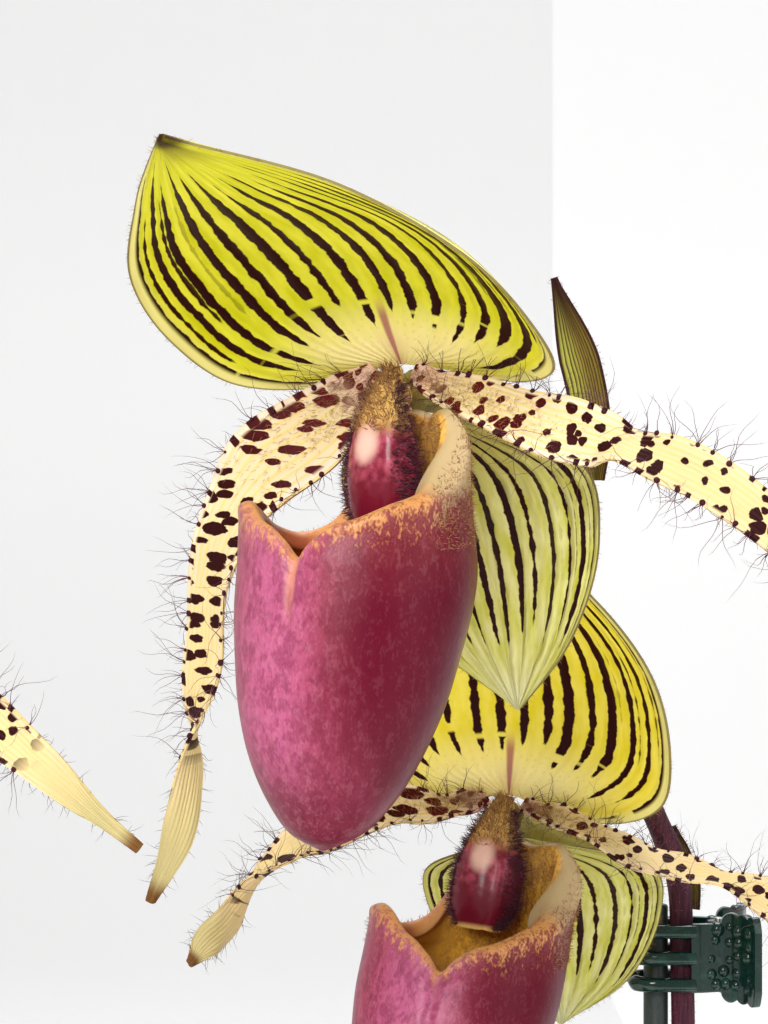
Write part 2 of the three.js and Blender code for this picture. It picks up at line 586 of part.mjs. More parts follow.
// The near jaw's middle line seen from above, from finger tip past the pin to the handle's end.
const JAW_LINE = [
  [-13.4, -0.9], [-13.7, -2.3], [-11.8, -3.7], [-7.5, -4.0], [-3.6, -3.7], [0, -2.9],
  [2.2, -3.4], [4.0, -5.4], [5.2, -8.6],
];
const FINGER_SLOT_HEIGHT = 1.9;
const FINGER_SLOT_Z = [-2.15, 2.15];
const FINGER_SLOT_END_X = -4.6;
const SCALLOP_RADIUS = 1.7;
const SCALLOP_STATIONS = [0.72, 0.83, 0.94];
const KNUCKLES = { near: [[-4.2, 2.6], [4.2, 2.6]], far: [[-1.0, 3.2]] };

function jawSolid(side, knuckles) {
  const line = new THREE.CatmullRomCurve3(JAW_LINE.map(([x, y]) => new THREE.Vector3(x, y, 0)));
  const steps = 14;
  const outline = { left: [], right: [] };
  for (let i = 0; i <= steps; i++) {
    const point = line.getPointAt(i / steps);
    const tangent = line.getTangentAt(i / steps);
    const offset = new THREE.Vector2(-tangent.y, tangent.x).multiplyScalar(CLIP_WALL / 2);
    outline.left.push(new THREE.Vector2(point.x + offset.x, point.y + offset.y));
    outline.right.push(new THREE.Vector2(point.x - offset.x, point.y - offset.y));
  }
  const shape = new THREE.Shape([...outline.left, ...outline.right.reverse()]);
  const ribbon = new THREE.ExtrudeGeometry(shape, { depth: CLIP_HEIGHT, bevelEnabled: false });
  ribbon.translate(0, 0, -CLIP_HEIGHT / 2);
  let jaw = solid(ribbon);
  for (const u of SCALLOP_STATIONS) {
    const point = line.getPointAt(u);
    const tangent = line.getTangentAt(u);
    for (const end of [-1, 1]) {
      const bump = new THREE.CylinderGeometry(SCALLOP_RADIUS, SCALLOP_RADIUS, CLIP_WALL, 8);
      bump.rotateZ(Math.atan2(tangent.y, tangent.x));
      bump.translate(point.x, point.y, (end * CLIP_HEIGHT) / 2);
      jaw = jaw.add(solid(bump));
    }
  }
  for (const z of FINGER_SLOT_Z) {
    const width = 12;
    jaw = jaw.subtract(solid(placedBox(width, 12, FINGER_SLOT_HEIGHT, FINGER_SLOT_END_X - width / 2, -4, z)));
  }
  for (const [z, height] of knuckles) {
    jaw = jaw.add(solid(placedCylinder(CLIP_KNUCKLE_RADIUS, height, 12, 0, 0, z)));
    jaw = jaw.add(solid(placedBox(2.4, 2.4, height, 0, -1.8, z)));
  }
  jaw = jaw.subtract(solid(placedCylinder(CLIP_BORE_RADIUS, 2 * CLIP_HEIGHT, 12, 0, 0, 0)));
  const geometry = geometryOf(largestBody(jaw));
  if (side === 'far') {
    geometry.scale(1, -1, 1);
    const index = geometry.index.array;
    for (let i = 0; i < index.length; i += 3) [index[i + 1], index[i + 2]] = [index[i + 2], index[i + 1]];
  }
  return geometry;
}

function springGeometry() {
  const profile = [[1.15, -0.75], [1.7, -0.75], [1.7, 0.75], [1.15, 0.75], [1.15, -0.75]]
    .map(([radius, z]) => new THREE.Vector2(radius, z));
  const ring = new THREE.LatheGeometry(profile, 12);
  ring.rotateX(Math.PI / 2);
  ring.translate(0, 0, 1.75);
  return geometryOf(solid(ring));
}

function buildClip() {
  const clip = new THREE.Group();
  clip.position.set(...CLIP_PIN);
  addMesh(clip, 'clip_near_jaw', jawSolid('near', KNUCKLES.near), 'clip');
  addMesh(clip, 'clip_far_jaw', jawSolid('far', KNUCKLES.far), 'clip');
  addMesh(clip, 'clip_pin', placedCylinder(CLIP_PIN_RADIUS, CLIP_HEIGHT + 1, 12, 0, 0, 0), 'steel');
  addMesh(clip, 'clip_spring', springGeometry(), 'steel');
  part.add(clip);
}

// Potting mix: a filled bed with bark chips standing out of its top, and plain holes for what stands in it.

function barkChip(random) {
  const chip = new THREE.BoxGeometry(9 + 8 * random(), 6 + 5 * random(), 4 + 3 * random());
  chip.deleteAttribute('normal');
  chip.deleteAttribute('uv');
  const merged = mergeVertices(chip);
  const corners = merged.attributes.position;
  for (let k = 0; k < corners.count; k++) {
    const shrink = 0.72 + 0.28 * random();
    corners.setXYZ(k, corners.getX(k) * shrink, corners.getY(k) * shrink, corners.getZ(k) * (0.8 + 0.2 * random()));
  }
  merged.rotateX(0.5 * (random() - 0.5));
  merged.rotateY(0.5 * (random() - 0.5));
  merged.rotateZ(Math.PI * random());
  const distance = (potInnerRadius(MIX_TOP) - 12) * Math.sqrt(random());
  const bearing = 2 * Math.PI * random();
  const crown = MIX_CROWN * (1 - (distance / potInnerRadius(MIX_TOP)) ** 2);
  merged.translate(distance * Math.cos(bearing), distance * Math.sin(bearing), MIX_TOP + crown + 0.4);
  return merged;
}

function mixGeometry() {
  const low = POT_FLOOR + SEAT_GAP;
  const profile = [
    [0, low], [potInnerRadius(low) - 2 * SEAT_GAP, low], [potInnerRadius(MIX_TOP) - 2 * SEAT_GAP, MIX_TOP],
    [0.6 * potInnerRadius(MIX_TOP), MIX_TOP + 0.7 * MIX_CROWN], [0, MIX_TOP + MIX_CROWN],
  ].map(([radius, z]) => new THREE.Vector2(radius, z));
  const bed = new THREE.LatheGeometry(profile, POT_SIDES);
  bed.rotateX(Math.PI / 2);
  const random = seededRandom(BARK_SEED);
  let mix = solid(bed);
  for (let k = 0; k < BARK_CHIP_COUNT; k++) mix = mix.add(solid(barkChip(random)));
  for (const leaf of LEAVES) mix = mix.subtract(solid(leafGeometry(leaf, SEAT_GAP)));
  for (const stem of STEMS) {
    const hole = taperedTube(stemCurve(stem), 26, 8, (u) => stemRadius(u) + 2 * SEAT_GAP);
    mix = mix.subtract(solid(hole).translate([0, 0, -SEAT_GAP]));
  }
  const [footX, footY, footZ] = STAKE_FOOT;
  const [topX, topY, topZ] = STAKE_TOP;
  const stakeHole = new THREE.CatmullRomCurve3([
    new THREE.Vector3(footX, footY, footZ - SEAT_GAP), new THREE.Vector3(topX, topY, topZ),
  ]);
  mix = mix.subtract(solid(taperedTube(stakeHole, 3, 12, () => STAKE_RADIUS + SEAT_GAP)));
  return geometryOf(largestBody(mix));
}

addMesh(part, 'pot', potGeometry(), 'clay');
addMesh(part, 'potting_mix', mixGeometry(), 'bark');
LEAVES.forEach((leaf) => addMesh(part, leaf.name, leafGeometry(leaf, 0), 'leaf'));
STEMS.forEach((stem) => addMesh(part, stem.name, stemGeometry(stem), stem.colour));
BRACTS.forEach((bract) => addMesh(part, bract.name, bractGeometry(bract), 'bract'));
BLOOMS.forEach(buildBloom);
addMesh(part, 'stake', stakeGeometry(), 'stake');
buildClip();

export default part;
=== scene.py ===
"""Dresses the potted slipper orchid: its blooms, leaves, stems, pot, potting mix, stake and clip.

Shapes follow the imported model's own curves, in millimetres. A bloom's pieces are drawn in the
bloom's own directions, right, up and forward, and are then put in place in metres.
"""

from __future__ import annotations

import logging
import math
from dataclasses import dataclass, replace
from enum import Enum
from typing import Callable, Sequence

import bpy
import numpy as np
from mathutils import Matrix, Vector

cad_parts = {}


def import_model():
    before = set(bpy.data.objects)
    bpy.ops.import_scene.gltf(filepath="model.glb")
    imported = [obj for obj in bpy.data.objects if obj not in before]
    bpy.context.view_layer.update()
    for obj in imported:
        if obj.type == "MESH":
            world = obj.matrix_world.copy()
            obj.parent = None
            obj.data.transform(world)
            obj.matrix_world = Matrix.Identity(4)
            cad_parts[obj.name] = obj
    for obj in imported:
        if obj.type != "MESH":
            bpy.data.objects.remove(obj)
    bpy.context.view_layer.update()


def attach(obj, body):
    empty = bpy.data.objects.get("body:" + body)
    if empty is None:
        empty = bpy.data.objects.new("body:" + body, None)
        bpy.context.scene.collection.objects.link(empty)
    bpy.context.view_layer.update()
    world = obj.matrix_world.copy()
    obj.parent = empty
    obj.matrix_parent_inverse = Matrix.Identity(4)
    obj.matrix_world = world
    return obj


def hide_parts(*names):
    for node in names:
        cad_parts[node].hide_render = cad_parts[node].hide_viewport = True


log = logging.getLogger("orchid")

Points = np.ndarray
Shape = Callable[[Points, Points], Points]
Triple = tuple[float, float, float]
Stations = Sequence[Sequence[float]]
Colour = tuple[float, float, float, float]
Piece = bpy.types.Object
Material = bpy.types.Material

MM = 0.001
ARC_STEPS = 200
TINY = 1e-4
PROBE = 1e-3


class Body(Enum):
    """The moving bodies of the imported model."""

    PLANT = "plant"
    CLIP_JAW = "clip_jaw"


class Slot(Enum):
    """The material slots."""

    CLAY = "clay"
    BARK = "bark"
    LEAF = "leaf"
    STEM = "stem"
    BRACT = "bract"
    SEPAL = "sepal"
    PETAL = "petal"
    LIP = "lip"
    COLUMN = "column"
    STAKE = "stake"
    CLIP = "clip"
    STEEL = "steel"


# Curves and small sums on rows of points


def unit(vectors: Points) -> Points:
    """Returns each row at length one."""
    return vectors / np.maximum(np.linalg.norm(vectors, axis=-1, keepdims=True), 1e-9)


def faced_forward(out: Points) -> Points:
    """Turns each direction out of a surface to the side that faces forward."""
    return out * np.sign(-out[:, 1:2] + 0.01)


def in_bloom(right: Points | float, up: Points | float, forward: Points | float) -> Points:
    """Turns a bloom's right, up and forward into x, y and z."""
    return np.stack(np.broadcast_arrays(right, -np.asarray(forward, float), up), axis=-1)


def bloom_points(stations: Stations) -> Points:
    """Turns rows that start with right, up and forward into x, y and z."""
    rows = np.asarray([station[:3] for station in stations], float)
    return in_bloom(rows[:, 0], rows[:, 1], rows[:, 2])


def turned(vectors: Points, axes: Points, degrees: Points) -> Points:
    """Turns each row round its own axis.

    Args:
        vectors: rows to turn.
        axes: one unit axis for each row.
        degrees: how far each row turns.

    Returns:
        The turned rows.
    """
    angle = np.radians(degrees)[:, None]
    along = np.sum(axes * vectors, axis=1, keepdims=True)
    swept = np.cross(axes, vectors) * np.sin(angle)
    return vectors * np.cos(angle) + swept + axes * along * (1 - np.cos(angle))


def eased(values: Points | float, start: float, end: float) -> Points:
    """Rises smoothly from 0 at start to 1 at end."""
    share = np.clip((np.asarray(values, float) - start) / (end - start), 0, 1)
    return share * share * (3 - 2 * share)


class Curve:
    """A smooth curve through given points."""

    def __init__(self, points: Stations | Points, closed: bool = False) -> None:
        """Keeps the points and measures the curve."""
        self.points = np.asarray(points, float)
        self.closed = closed
        self.shares = np.linspace(0, 1, ARC_STEPS + 1)
        steps = np.linalg.norm(np.diff(self.at(self.shares), axis=0), axis=1)
        self.lengths = np.concatenate([[0.0], np.cumsum(steps)])

    @property
    def length(self) -> float:
        """The curve's whole length."""
        return float(self.lengths[-1])

    def at(self, share: Points | float) -> Points:
        """Reads the curve.

        Args:
            share: from 0 at the first point to 1 at the last.

        Returns:
            One row for each share.
        """
        share = np.clip(np.atleast_1d(np.asarray(share, float)), 0, 1)
        count = len(self.points)
        spans = count if self.closed else count - 1
        first = np.minimum(np.floor(share * spans).astype(int), spans - 1)
        weight = (share * spans - first)[:, None]
        if self.closed:
            p0, p1, p2, p3 = (self.points[(first + k) % count] for k in (-1, 0, 1, 2))
        else:
            head, tail = 2 * self.points[0] - self.points[1], 2 * self.points[-1] - self.points[-2]
            padded = np.vstack([head, self.points, tail])
            p0, p1, p2, p3 = (padded[first + k] for k in range(4))
        d0, d1, d2 = (np.sqrt(np.linalg.norm(b - a, axis=1))[:, None]
                      for a, b in ((p0, p1), (p1, p2), (p2, p3)))
        d1 = np.where(d1 < TINY, 1.0, d1)
        d0 = np.where(d0 < TINY, d1, d0)
        d2 = np.where(d2 < TINY, d1, d2)
        leave = ((p1 - p0) / d0 - (p2 - p0) / (d0 + d1) + (p2 - p1) / d1) * d1
        arrive = ((p2 - p1) / d1 - (p3 - p1) / (d1 + d2) + (p3 - p2) / d2) * d1
        square = 3 * (p2 - p1) - 2 * leave - arrive
        cube = 2 * (p1 - p2) + leave + arrive
        return p1 + weight * (leave + weight * (square + weight * cube))

    def tangent(self, share: Points | float) -> Points:
        """Returns the curve's direction at each share."""
        share = np.atleast_1d(np.asarray(share, float))
        return unit(self.at(share + TINY) - self.at(share - TINY))

    def evenly(self, share: Points | float) -> Points:
        """Turns shares of the curve's length into shares that the curve reads."""
        return np.interp(np.asarray(share, float) * self.length, self.lengths, self.shares)


def profile(values: Sequence[float], share: Points) -> Points:
    """Reads values spaced evenly along a piece, smoothly, at each share from 0 to 1."""
    return Curve([[value] for value in values]).at(share)[:, 0]


@dataclass
class Surface:
    """A curved blade: a formula of the share along it and the place across it, from -1 to 1."""

    shape: Shape

    def frame(self, along: Points, across: Points) -> tuple[Points, Points, Points, Points]:
        """Reads the surface where something grows from it.

        Args:
            along: shares along the blade.
            across: places across the blade.

        Returns:
            The places, and the directions along, across and out of the surface.
        """
        ahead, behind = np.minimum(along + PROBE, 1), along - PROBE
        lengthwise = unit(self.shape(ahead, across) - self.shape(behind, across))
        sideways = unit(self.shape(along, across + PROBE) - self.shape(along, across - PROBE))
        return self.shape(along, across), lengthwise, sideways, unit(np.cross(lengthwise, sideways))


# Work by hand in Blender


def deselect() -> None:
    """Leaves nothing selected."""
    if bpy.context.mode != "OBJECT":
        bpy.ops.object.mode_set(mode="OBJECT")
    bpy.ops.object.select_all(action="DESELECT")


def pick(*pieces: Piece) -> None:
    """Selects only these pieces; the first one becomes active."""
    deselect()
    for piece in pieces:
        piece.select_set(True)
    bpy.context.view_layer.objects.active = pieces[0]


def named(name: str) -> Piece:
    """Names the new active piece and its mesh, and returns it."""
    piece = bpy.context.active_object
    piece.name = name
    piece.data.name = name
    return piece


def corners(piece: Piece) -> Points:
    """Returns a mesh's vertices as rows."""
    flat = np.empty(3 * len(piece.data.vertices))
    piece.data.vertices.foreach_get("co", flat)
    return flat.reshape(-1, 3)


def set_corners(piece: Piece, rows: Points) -> None:
    """Moves a mesh's vertices to these rows."""
    piece.data.vertices.foreach_set("co", np.ascontiguousarray(rows, float).ravel())
    piece.data.update()


def apply_modifier(piece: Piece, kind: str, **settings: object) -> None:
    """Adds a modifier with these settings and applies it."""
    pick(piece)
    modifier = piece.modifiers.new(kind.title(), kind)
    for key, value in settings.items():
        setattr(modifier, key, value)
    bpy.ops.object.modifier_apply(modifier=modifier.name)


def bevel(piece: Piece, width: float, segments: int, degrees: float = 30) -> None:
    """Rounds the edges sharper than this, by a width in millimetres."""
    apply_modifier(piece, "BEVEL", width=width * MM, segments=segments, limit_method="ANGLE",
                   angle_limit=math.radians(degrees))


def close_seams(piece: Piece, reach: float = 1e-6) -> None:
    """Merges a piece's doubled points and turns its faces outwards."""
    pick(piece)
    bpy.ops.object.mode_set(mode="EDIT")
    bpy.ops.mesh.select_all(action="SELECT")
    bpy.ops.mesh.remove_doubles(threshold=reach)
    bpy.ops.mesh.normals_make_consistent(inside=False)
    bpy.ops.object.mode_set(mode="OBJECT")


def smooth(piece: Piece, degrees: float = 60) -> None:
    """Shades a piece smoothly, except over sharper edges than this."""
    pick(piece)
    bpy.ops.object.shade_smooth_by_angle(angle=math.radians(degrees))


def joined(name: str, pieces: Sequence[Piece]) -> Piece:
    """Joins pieces into one, named so."""
    pick(*pieces)
    bpy.ops.object.join()
    return named(name)


def shaped_grid(name: str, rows: int, columns: int, shape: Shape) -> Piece:
    """Adds a grid and curves it by a formula.

    Args:
        name: the piece's name.
        rows: its steps along.
        columns: its steps across.
        shape: gives each corner's place in millimetres from its share along and place across.

    Returns:
        The piece, with the UV map that it was laid out on: x across, y along.
    """
    deselect()
    bpy.ops.mesh.primitive_grid_add(x_subdivisions=columns, y_subdivisions=rows, size=1)
    piece = named(name)
    flat = corners(piece)
    set_corners(piece, shape(flat[:, 1] + 0.5, 2 * flat[:, 0]) * MM)
    return piece


def read_layout(piece: Piece) -> tuple[Points, Points, Points]:
    """Reads a grid's first UV map.

    Returns:
        Each face corner's vertex, and each vertex's place across, from -1 to 1, and share along.
    """
    layout = np.empty(2 * len(piece.data.loops), np.float32)
    piece.data.uv_layers[0].data.foreach_get("uv", layout)
    corner = np.empty(len(piece.data.loops), dtype=np.int32)
    piece.data.loops.foreach_get("vertex_index", corner)
    across, along = np.zeros(len(piece.data.vertices)), np.zeros(len(piece.data.vertices))
    across[corner] = 2 * layout.reshape(-1, 2)[:, 0] - 1
    along[corner] = layout.reshape(-1, 2)[:, 1]
    return corner, across, along


def add_span(piece: Piece, along: Points, across: Points) -> None:
    """Stores true distances in centimetres, along and across, as the UV map named Span."""
    corner, _, _ = read_layout(piece)
    layer = piece.data.uv_layers.new(name="Span")
    layer.data.foreach_set("uv", np.stack([along, across], axis=1)[corner].astype(np.float32).ravel())
    piece.data.uv_layers.active_index = 0


def add_place(piece: Piece, rows: Points) -> None:
    """Stores each corner's place in the bloom, in centimetres, as the attribute named place."""
    attribute = piece.data.attributes.new("place", "FLOAT_VECTOR", "POINT")
    attribute.data.foreach_set("vector", np.ascontiguousarray(rows / 10, np.float32).ravel())


def thicken(piece: Piece, thickness: float, edge_share: float) -> None:
    """Gives a blade its thickness in millimetres, thinner towards its margins.

    Args:
        piece: the open blade, still with its first UV map.
        thickness: its thickness in the middle.
        edge_share: the margin's share of that.
    """
    group = piece.vertex_groups.new(name="flesh")
    _, across, _ = read_layout(piece)
    weights = np.round(1 - eased(np.abs(across), 0.55, 1.0), 2)
    for level in np.unique(weights):
        group.add(np.flatnonzero(weights == level).tolist(), float(level), "REPLACE")
    apply_modifier(piece, "SOLIDIFY", thickness=thickness * MM, offset=0.0, vertex_group="flesh",
                   thickness_vertex_group=edge_share)
    piece.vertex_groups.clear()


def tube(name: str, curve: Curve, rows: int, sides: int, radius: Shape) -> Piece:
    """Makes a closed tube along a curve.

    Args:
        name: the piece's name.
        curve: the middle line in millimetres.
        rows: steps along.
        sides: steps around.
        radius: gives the radius from the share along and the angle around.

    Returns:
        The tube, closed at both ends.
    """
    start = unit(np.cross(curve.tangent(0.0), np.array([[0.31, 0.95, 0.07]])))[0]

    def shape(along: Points, across: Points) -> Points:
        """Places each corner round the curve."""
        share = curve.evenly(along)
        tangent = curve.tangent(share)
        first = unit(start - tangent * np.sum(tangent * start, axis=1, keepdims=True))
        second = np.cross(tangent, first)
        angle = math.pi * across
        size = np.where((along < TINY) | (along > 1 - TINY), 0, radius(along, angle))[:, None]
        return curve.at(share) + size * (first * np.cos(angle)[:, None] + second * np.sin(angle)[:, None])

    piece = shaped_grid(name, rows, sides, shape)
    close_seams(piece)
    smooth(piece)
    return piece


def new_object(name: str, data: bpy.types.ID) -> Piece:
    """Adds an object with this data to the scene."""
    piece = bpy.data.objects.new(name, data)
    bpy.context.scene.collection.objects.link(piece)
    return piece


def new_piece(name: str, points: Points, faces: Sequence[Sequence[int]]) -> Piece:
    """Makes a smooth piece of these points, in metres, and these faces."""
    mesh = bpy.data.meshes.new(name)
    mesh.from_pydata(points.tolist(), [], faces)
    mesh.polygons.foreach_set("use_smooth", [True] * len(mesh.polygons))
    return new_object(name, mesh)


def rod(name: str, sides: int, radius: float, length: float, place: Sequence[float] = (0, 0, 0)) -> Piece:
    """Adds an upright cylinder, all in millimetres."""
    deselect()
    bpy.ops.mesh.primitive_cylinder_add(vertices=sides, radius=radius * MM, depth=length * MM,
                                        location=Vector(place) * MM)
    bpy.ops.object.transform_apply(location=True, rotation=True, scale=True)
    return named(name)


def ball(name: str, subdivisions: int, radius: float, place: Sequence[float] = (0, 0, 0)) -> Piece:
    """Adds a ball, all in millimetres."""
    deselect()
    bpy.ops.mesh.primitive_ico_sphere_add(subdivisions=subdivisions, radius=radius * MM,
                                          location=Vector(place) * MM)
    bpy.ops.object.transform_apply(location=True, rotation=True, scale=True)
    return named(name)


def scattered(name: str, pattern: Piece, places: Sequence[Matrix]) -> Piece:
    """Copies one small piece to many places, as one mesh.

    Args:
        name: the new piece's name.
        pattern: the piece modelled once, which is then removed.
        places: where each copy goes.

    Returns:
        The mesh that holds every copy.
    """
    rows = np.c_[corners(pattern), np.ones(len(pattern.data.vertices))]
    faces = [list(face.vertices) for face in pattern.data.polygons]
    points = np.vstack([(rows @ np.array(place).T)[:, :3] for place in places])
    step = len(rows)
    sides = [[k + copy * step for k in face] for copy in range(len(places)) for face in faces]
    bpy.data.objects.remove(pattern)
    return new_piece(name, points, sides)


def fit_out(piece: Piece, material: Material, slot: Slot, *nodes: str, body: Body = Body.PLANT) -> Piece:
    """Gives a finished piece its material and its place in the frame.

    Args:
        piece: the piece, in place.
        material: its finish.
        slot: not used.
        nodes: the model's nodes that it stands for.
        body: the body that it moves with.

    Returns:
        The piece.
    """
    piece.data.materials.clear()
    piece.data.materials.append(material)
    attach(piece, body.value)
    if nodes:
        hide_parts(*nodes)
    log.info("%s: %d faces", piece.name, len(piece.data.polygons))
    return piece


# Hairs


@dataclass(frozen=True)
class HairStyle:
    """How one kind of hair grows, in millimetres."""

    shortest: float
    longest: float
    radius: float
    segments: int
    curl: float
    wave: float = 0.0


class HairCoat:
    """The hairs of one piece, gathered into one mesh."""

    SIDES = 3

    def __init__(self, seed: int) -> None:
        """Starts with no hair and its own random draw."""
        self.random = np.random.default_rng(seed)
        self.points: list[Points] = []
        self.faces: list[list[int]] = []

    def grow(self, roots: Points, directions: Points, style: HairStyle) -> None:
        """Adds a hair at each root.

        Args:
            roots: places in millimetres.
            directions: the way each hair leaves its root.
            style: the kind of hair.
        """
        count = len(roots)
        length = self.random.uniform(style.shortest, style.longest, (count, 1, 1))
        heading = unit(directions)
        side = unit(np.cross(heading, self.random.normal(size=(count, 3))))
        other = np.cross(heading, side)
        share = np.linspace(0, 1, style.segments + 1)[None, :, None]
        phase = self.random.uniform(0, 2 * math.pi, (count, 1, 1))
        bend = side[:, None] * style.curl * self.random.uniform(0.3, 1.0, (count, 1, 1)) * share**2
        ripple = other[:, None] * style.wave * np.sin(7 * share + phase) * share
        line = roots[:, None] + length * (heading[:, None] * share + bend + ripple)
        turn = 2 * math.pi * np.arange(self.SIDES) / self.SIDES
        around = side[:, None] * np.cos(turn)[None, :, None] + other[:, None] * np.sin(turn)[None, :, None]
        thickness = style.radius * (1 - 0.7 * share[:, :-1])
        rings = line[:, :-1, None] + thickness[..., None] * around[:, None]
        block = np.concatenate([rings.reshape(count, -1, 3), line[:, -1:]], axis=1)
        self._add_faces(count, style.segments)
        self.points.append(block.reshape(-1, 3))

    def _add_faces(self, count: int, segments: int) -> None:
        """Adds the faces of that many hairs, each with a closed root and one tip."""
        sides = self.SIDES
        pattern = [[2, 1, 0]]
        for ring in range(segments - 1):
            low = ring * sides
            pattern += [[low + k, low + (k + 1) % sides, low + sides + (k + 1) % sides, low + sides + k]
                        for k in range(sides)]
        top, tip = (segments - 1) * sides, segments * sides
        pattern += [[top + k, top + (k + 1) % sides, tip] for k in range(sides)]
        start = sum(len(block) for block in self.points)
        step = segments * sides + 1
        self.faces += [[start + hair * step + k for k in face] for hair in range(count) for face in pattern]

    def finish(self, name: str, pose: Matrix, material: Material, slot: Slot) -> Piece:
        """Makes the coat one piece.

        Args:
            name: the piece's name.
            pose: where the grown piece stands, in metres.
            material: the hairs' finish.
            slot: the slot, passed on.

        Returns:
            The piece.
        """
        piece = new_piece(name, np.vstack(self.points) * MM, self.faces)
        piece.data.transform(pose)
        return fit_out(piece, material, slot)


# Shader nodes


class Sheet:
    """Adds nodes to one tree and joins them."""

    def __init__(self, tree: bpy.types.NodeTree) -> None:
        """Keeps the tree."""
        self.tree = tree

    def add(self, kind: str, **settings: object) -> bpy.types.Node:
        """Adds a node with these settings."""
        node = self.tree.nodes.new(kind)
        for key, value in settings.items():
            setattr(node, key, value)
        return node

    def put(self, socket: bpy.types.NodeSocket, value: object) -> None:
        """Joins a socket to another one, or sets its value."""
        value = getattr(value, "socket", value)
        if isinstance(value, bpy.types.NodeSocket):
            self.tree.links.new(value, socket)
        else:
            socket.default_value = value

    def node(self, kind: str, output: int | str, given: dict[int | str, object],
             **settings: object) -> Value:
        """Adds a node, fills its inputs and returns one of its outputs.

        Args:
            kind: the node's type.
            output: the output's place or name.
            given: values or sockets by the input's place or name.
            settings: the node's own settings.

        Returns:
            The output.
        """
        node = self.add(kind, **settings)
        for key, value in given.items():
            self.put(node.inputs[key], value)
        return Value(self, node.outputs[output])

    def sum(self, kind: str, first: object, second: object = 0.0, clamp: bool = False) -> Value:
        """Adds a Math node of this kind."""
        return self.node("ShaderNodeMath", 0, {0: first, 1: second}, operation=kind, use_clamp=clamp)

    def blend(self, share: object, low: object, high: object) -> Value:
        """Mixes two colours by a share."""
        return self.node("ShaderNodeMix", 2, {0: share, 6: low, 7: high}, data_type="RGBA")

    def layers(self, ground: object, *coats: tuple[object, object]) -> Value:
        """Lays colours over a ground, one after another, each by its share."""
        for share, shown in coats:
            ground = self.blend(share, ground, shown)
        return ground

    def axes(self, vector: object) -> list[Value]:
        """Splits a vector."""
        node = self.add("ShaderNodeSeparateXYZ")
        self.put(node.inputs[0], vector)
        return [Value(self, socket) for socket in node.outputs]

    def vector(self, x: object = 0.0, y: object = 0.0, z: object = 0.0) -> Value:
        """Makes a vector of three values."""
        return self.node("ShaderNodeCombineXYZ", 0, {0: x, 1: y, 2: z})

    def noise(self, vector: object, scale: float, detail: float = 2.0, warp: float = 0.0) -> Value:
        """Returns smooth noise from 0 to 1."""
        return self.node("ShaderNodeTexNoise", 0,
                         {"Vector": vector, "Scale": scale, "Detail": detail, "Distortion": warp})

    def draw(self, seed: object, output: str) -> Value:
        """Returns a random value or colour for each seed."""
        return self.node("ShaderNodeTexWhiteNoise", output, {"W": seed}, noise_dimensions="1D")

    def object_place(self) -> Value:
        """Returns Object coordinates."""
        return self.node("ShaderNodeTexCoord", "Object", {})

    def layout(self, name: str = "UVMap") -> list[Value]:
        """Returns one of the piece's own UV maps, split."""
        return self.axes(self.node("ShaderNodeUVMap", 0, {}, uv_map=name))

    def bloom_place(self) -> list[Value]:
        """Returns right, back and up in the bloom, in centimetres."""
        return self.axes(self.node("ShaderNodeAttribute", "Vector", {}, attribute_name="place"))


@dataclass(frozen=True)
class Value:
    """A node's output; plain arithmetic with it adds Math nodes."""

    sheet: Sheet
    socket: bpy.types.NodeSocket

    def __add__(self, other: object) -> Value:
        """Adds."""
        return self.sheet.sum("ADD", self, other)

    def __sub__(self, other: object) -> Value:
        """Takes away."""
        return self.sheet.sum("SUBTRACT", self, other)

    def __rsub__(self, other: object) -> Value:
        """Takes this from a plain number."""
        return self.sheet.sum("SUBTRACT", other, self)

    def __mul__(self, other: object) -> Value:
        """Multiplies."""
        return self.sheet.sum("MULTIPLY", self, other)

    def __truediv__(self, other: object) -> Value:
        """Divides."""
        return self.sheet.sum("DIVIDE", self, other)

    def __abs__(self) -> Value:
        """Drops the sign."""
        return self.sheet.sum("ABSOLUTE", self)

    def rise(self, start: object, end: object) -> Value:
        """Rises smoothly from 0 at start to 1 at end; a start above the end falls instead."""
        return self.sheet.node("ShaderNodeMapRange", "Result",
                               {"Value": self, "From Min": start, "From Max": end},
                               interpolation_type="SMOOTHSTEP")


def off_middle(across: Value) -> Value:
    """Turns a place across from 0 to 1 into the distance from the middle, 1 at both margins."""
    return abs(across * 2.0 - 1.0)


@dataclass(frozen=True)
class Effect:
    """A shader effect that several finishes share: a node group with named inputs and one output."""

    name: str
    inputs: tuple[str, ...]
    output: str
    build: Callable[..., Value]

    def group(self) -> bpy.types.NodeTree:
        """Returns the node group, built on first use."""
        tree = bpy.data.node_groups.get(self.name)
        if tree:
            return tree
        tree = bpy.data.node_groups.new(self.name, "ShaderNodeTree")
        for name in self.inputs:
            tree.interface.new_socket(name=name.capitalize(), in_out="INPUT", socket_type="NodeSocketFloat")
        tree.interface.new_socket(name=self.output, in_out="OUTPUT", socket_type="NodeSocketFloat")
        sheet = Sheet(tree)
        source = sheet.add("NodeGroupInput")
        result = self.build(sheet, *(Value(sheet, source.outputs[k]) for k in range(len(self.inputs))))
        sheet.put(sheet.add("NodeGroupOutput").inputs[0], result)
        return tree

    def place(self, sheet: Sheet, **values: object) -> Value:
        """Places the effect in a material, with each input's value or socket."""
        given = {name.capitalize(): value for name, value in values.items()}
        return sheet.node("ShaderNodeGroup", 0, given, node_tree=self.group())


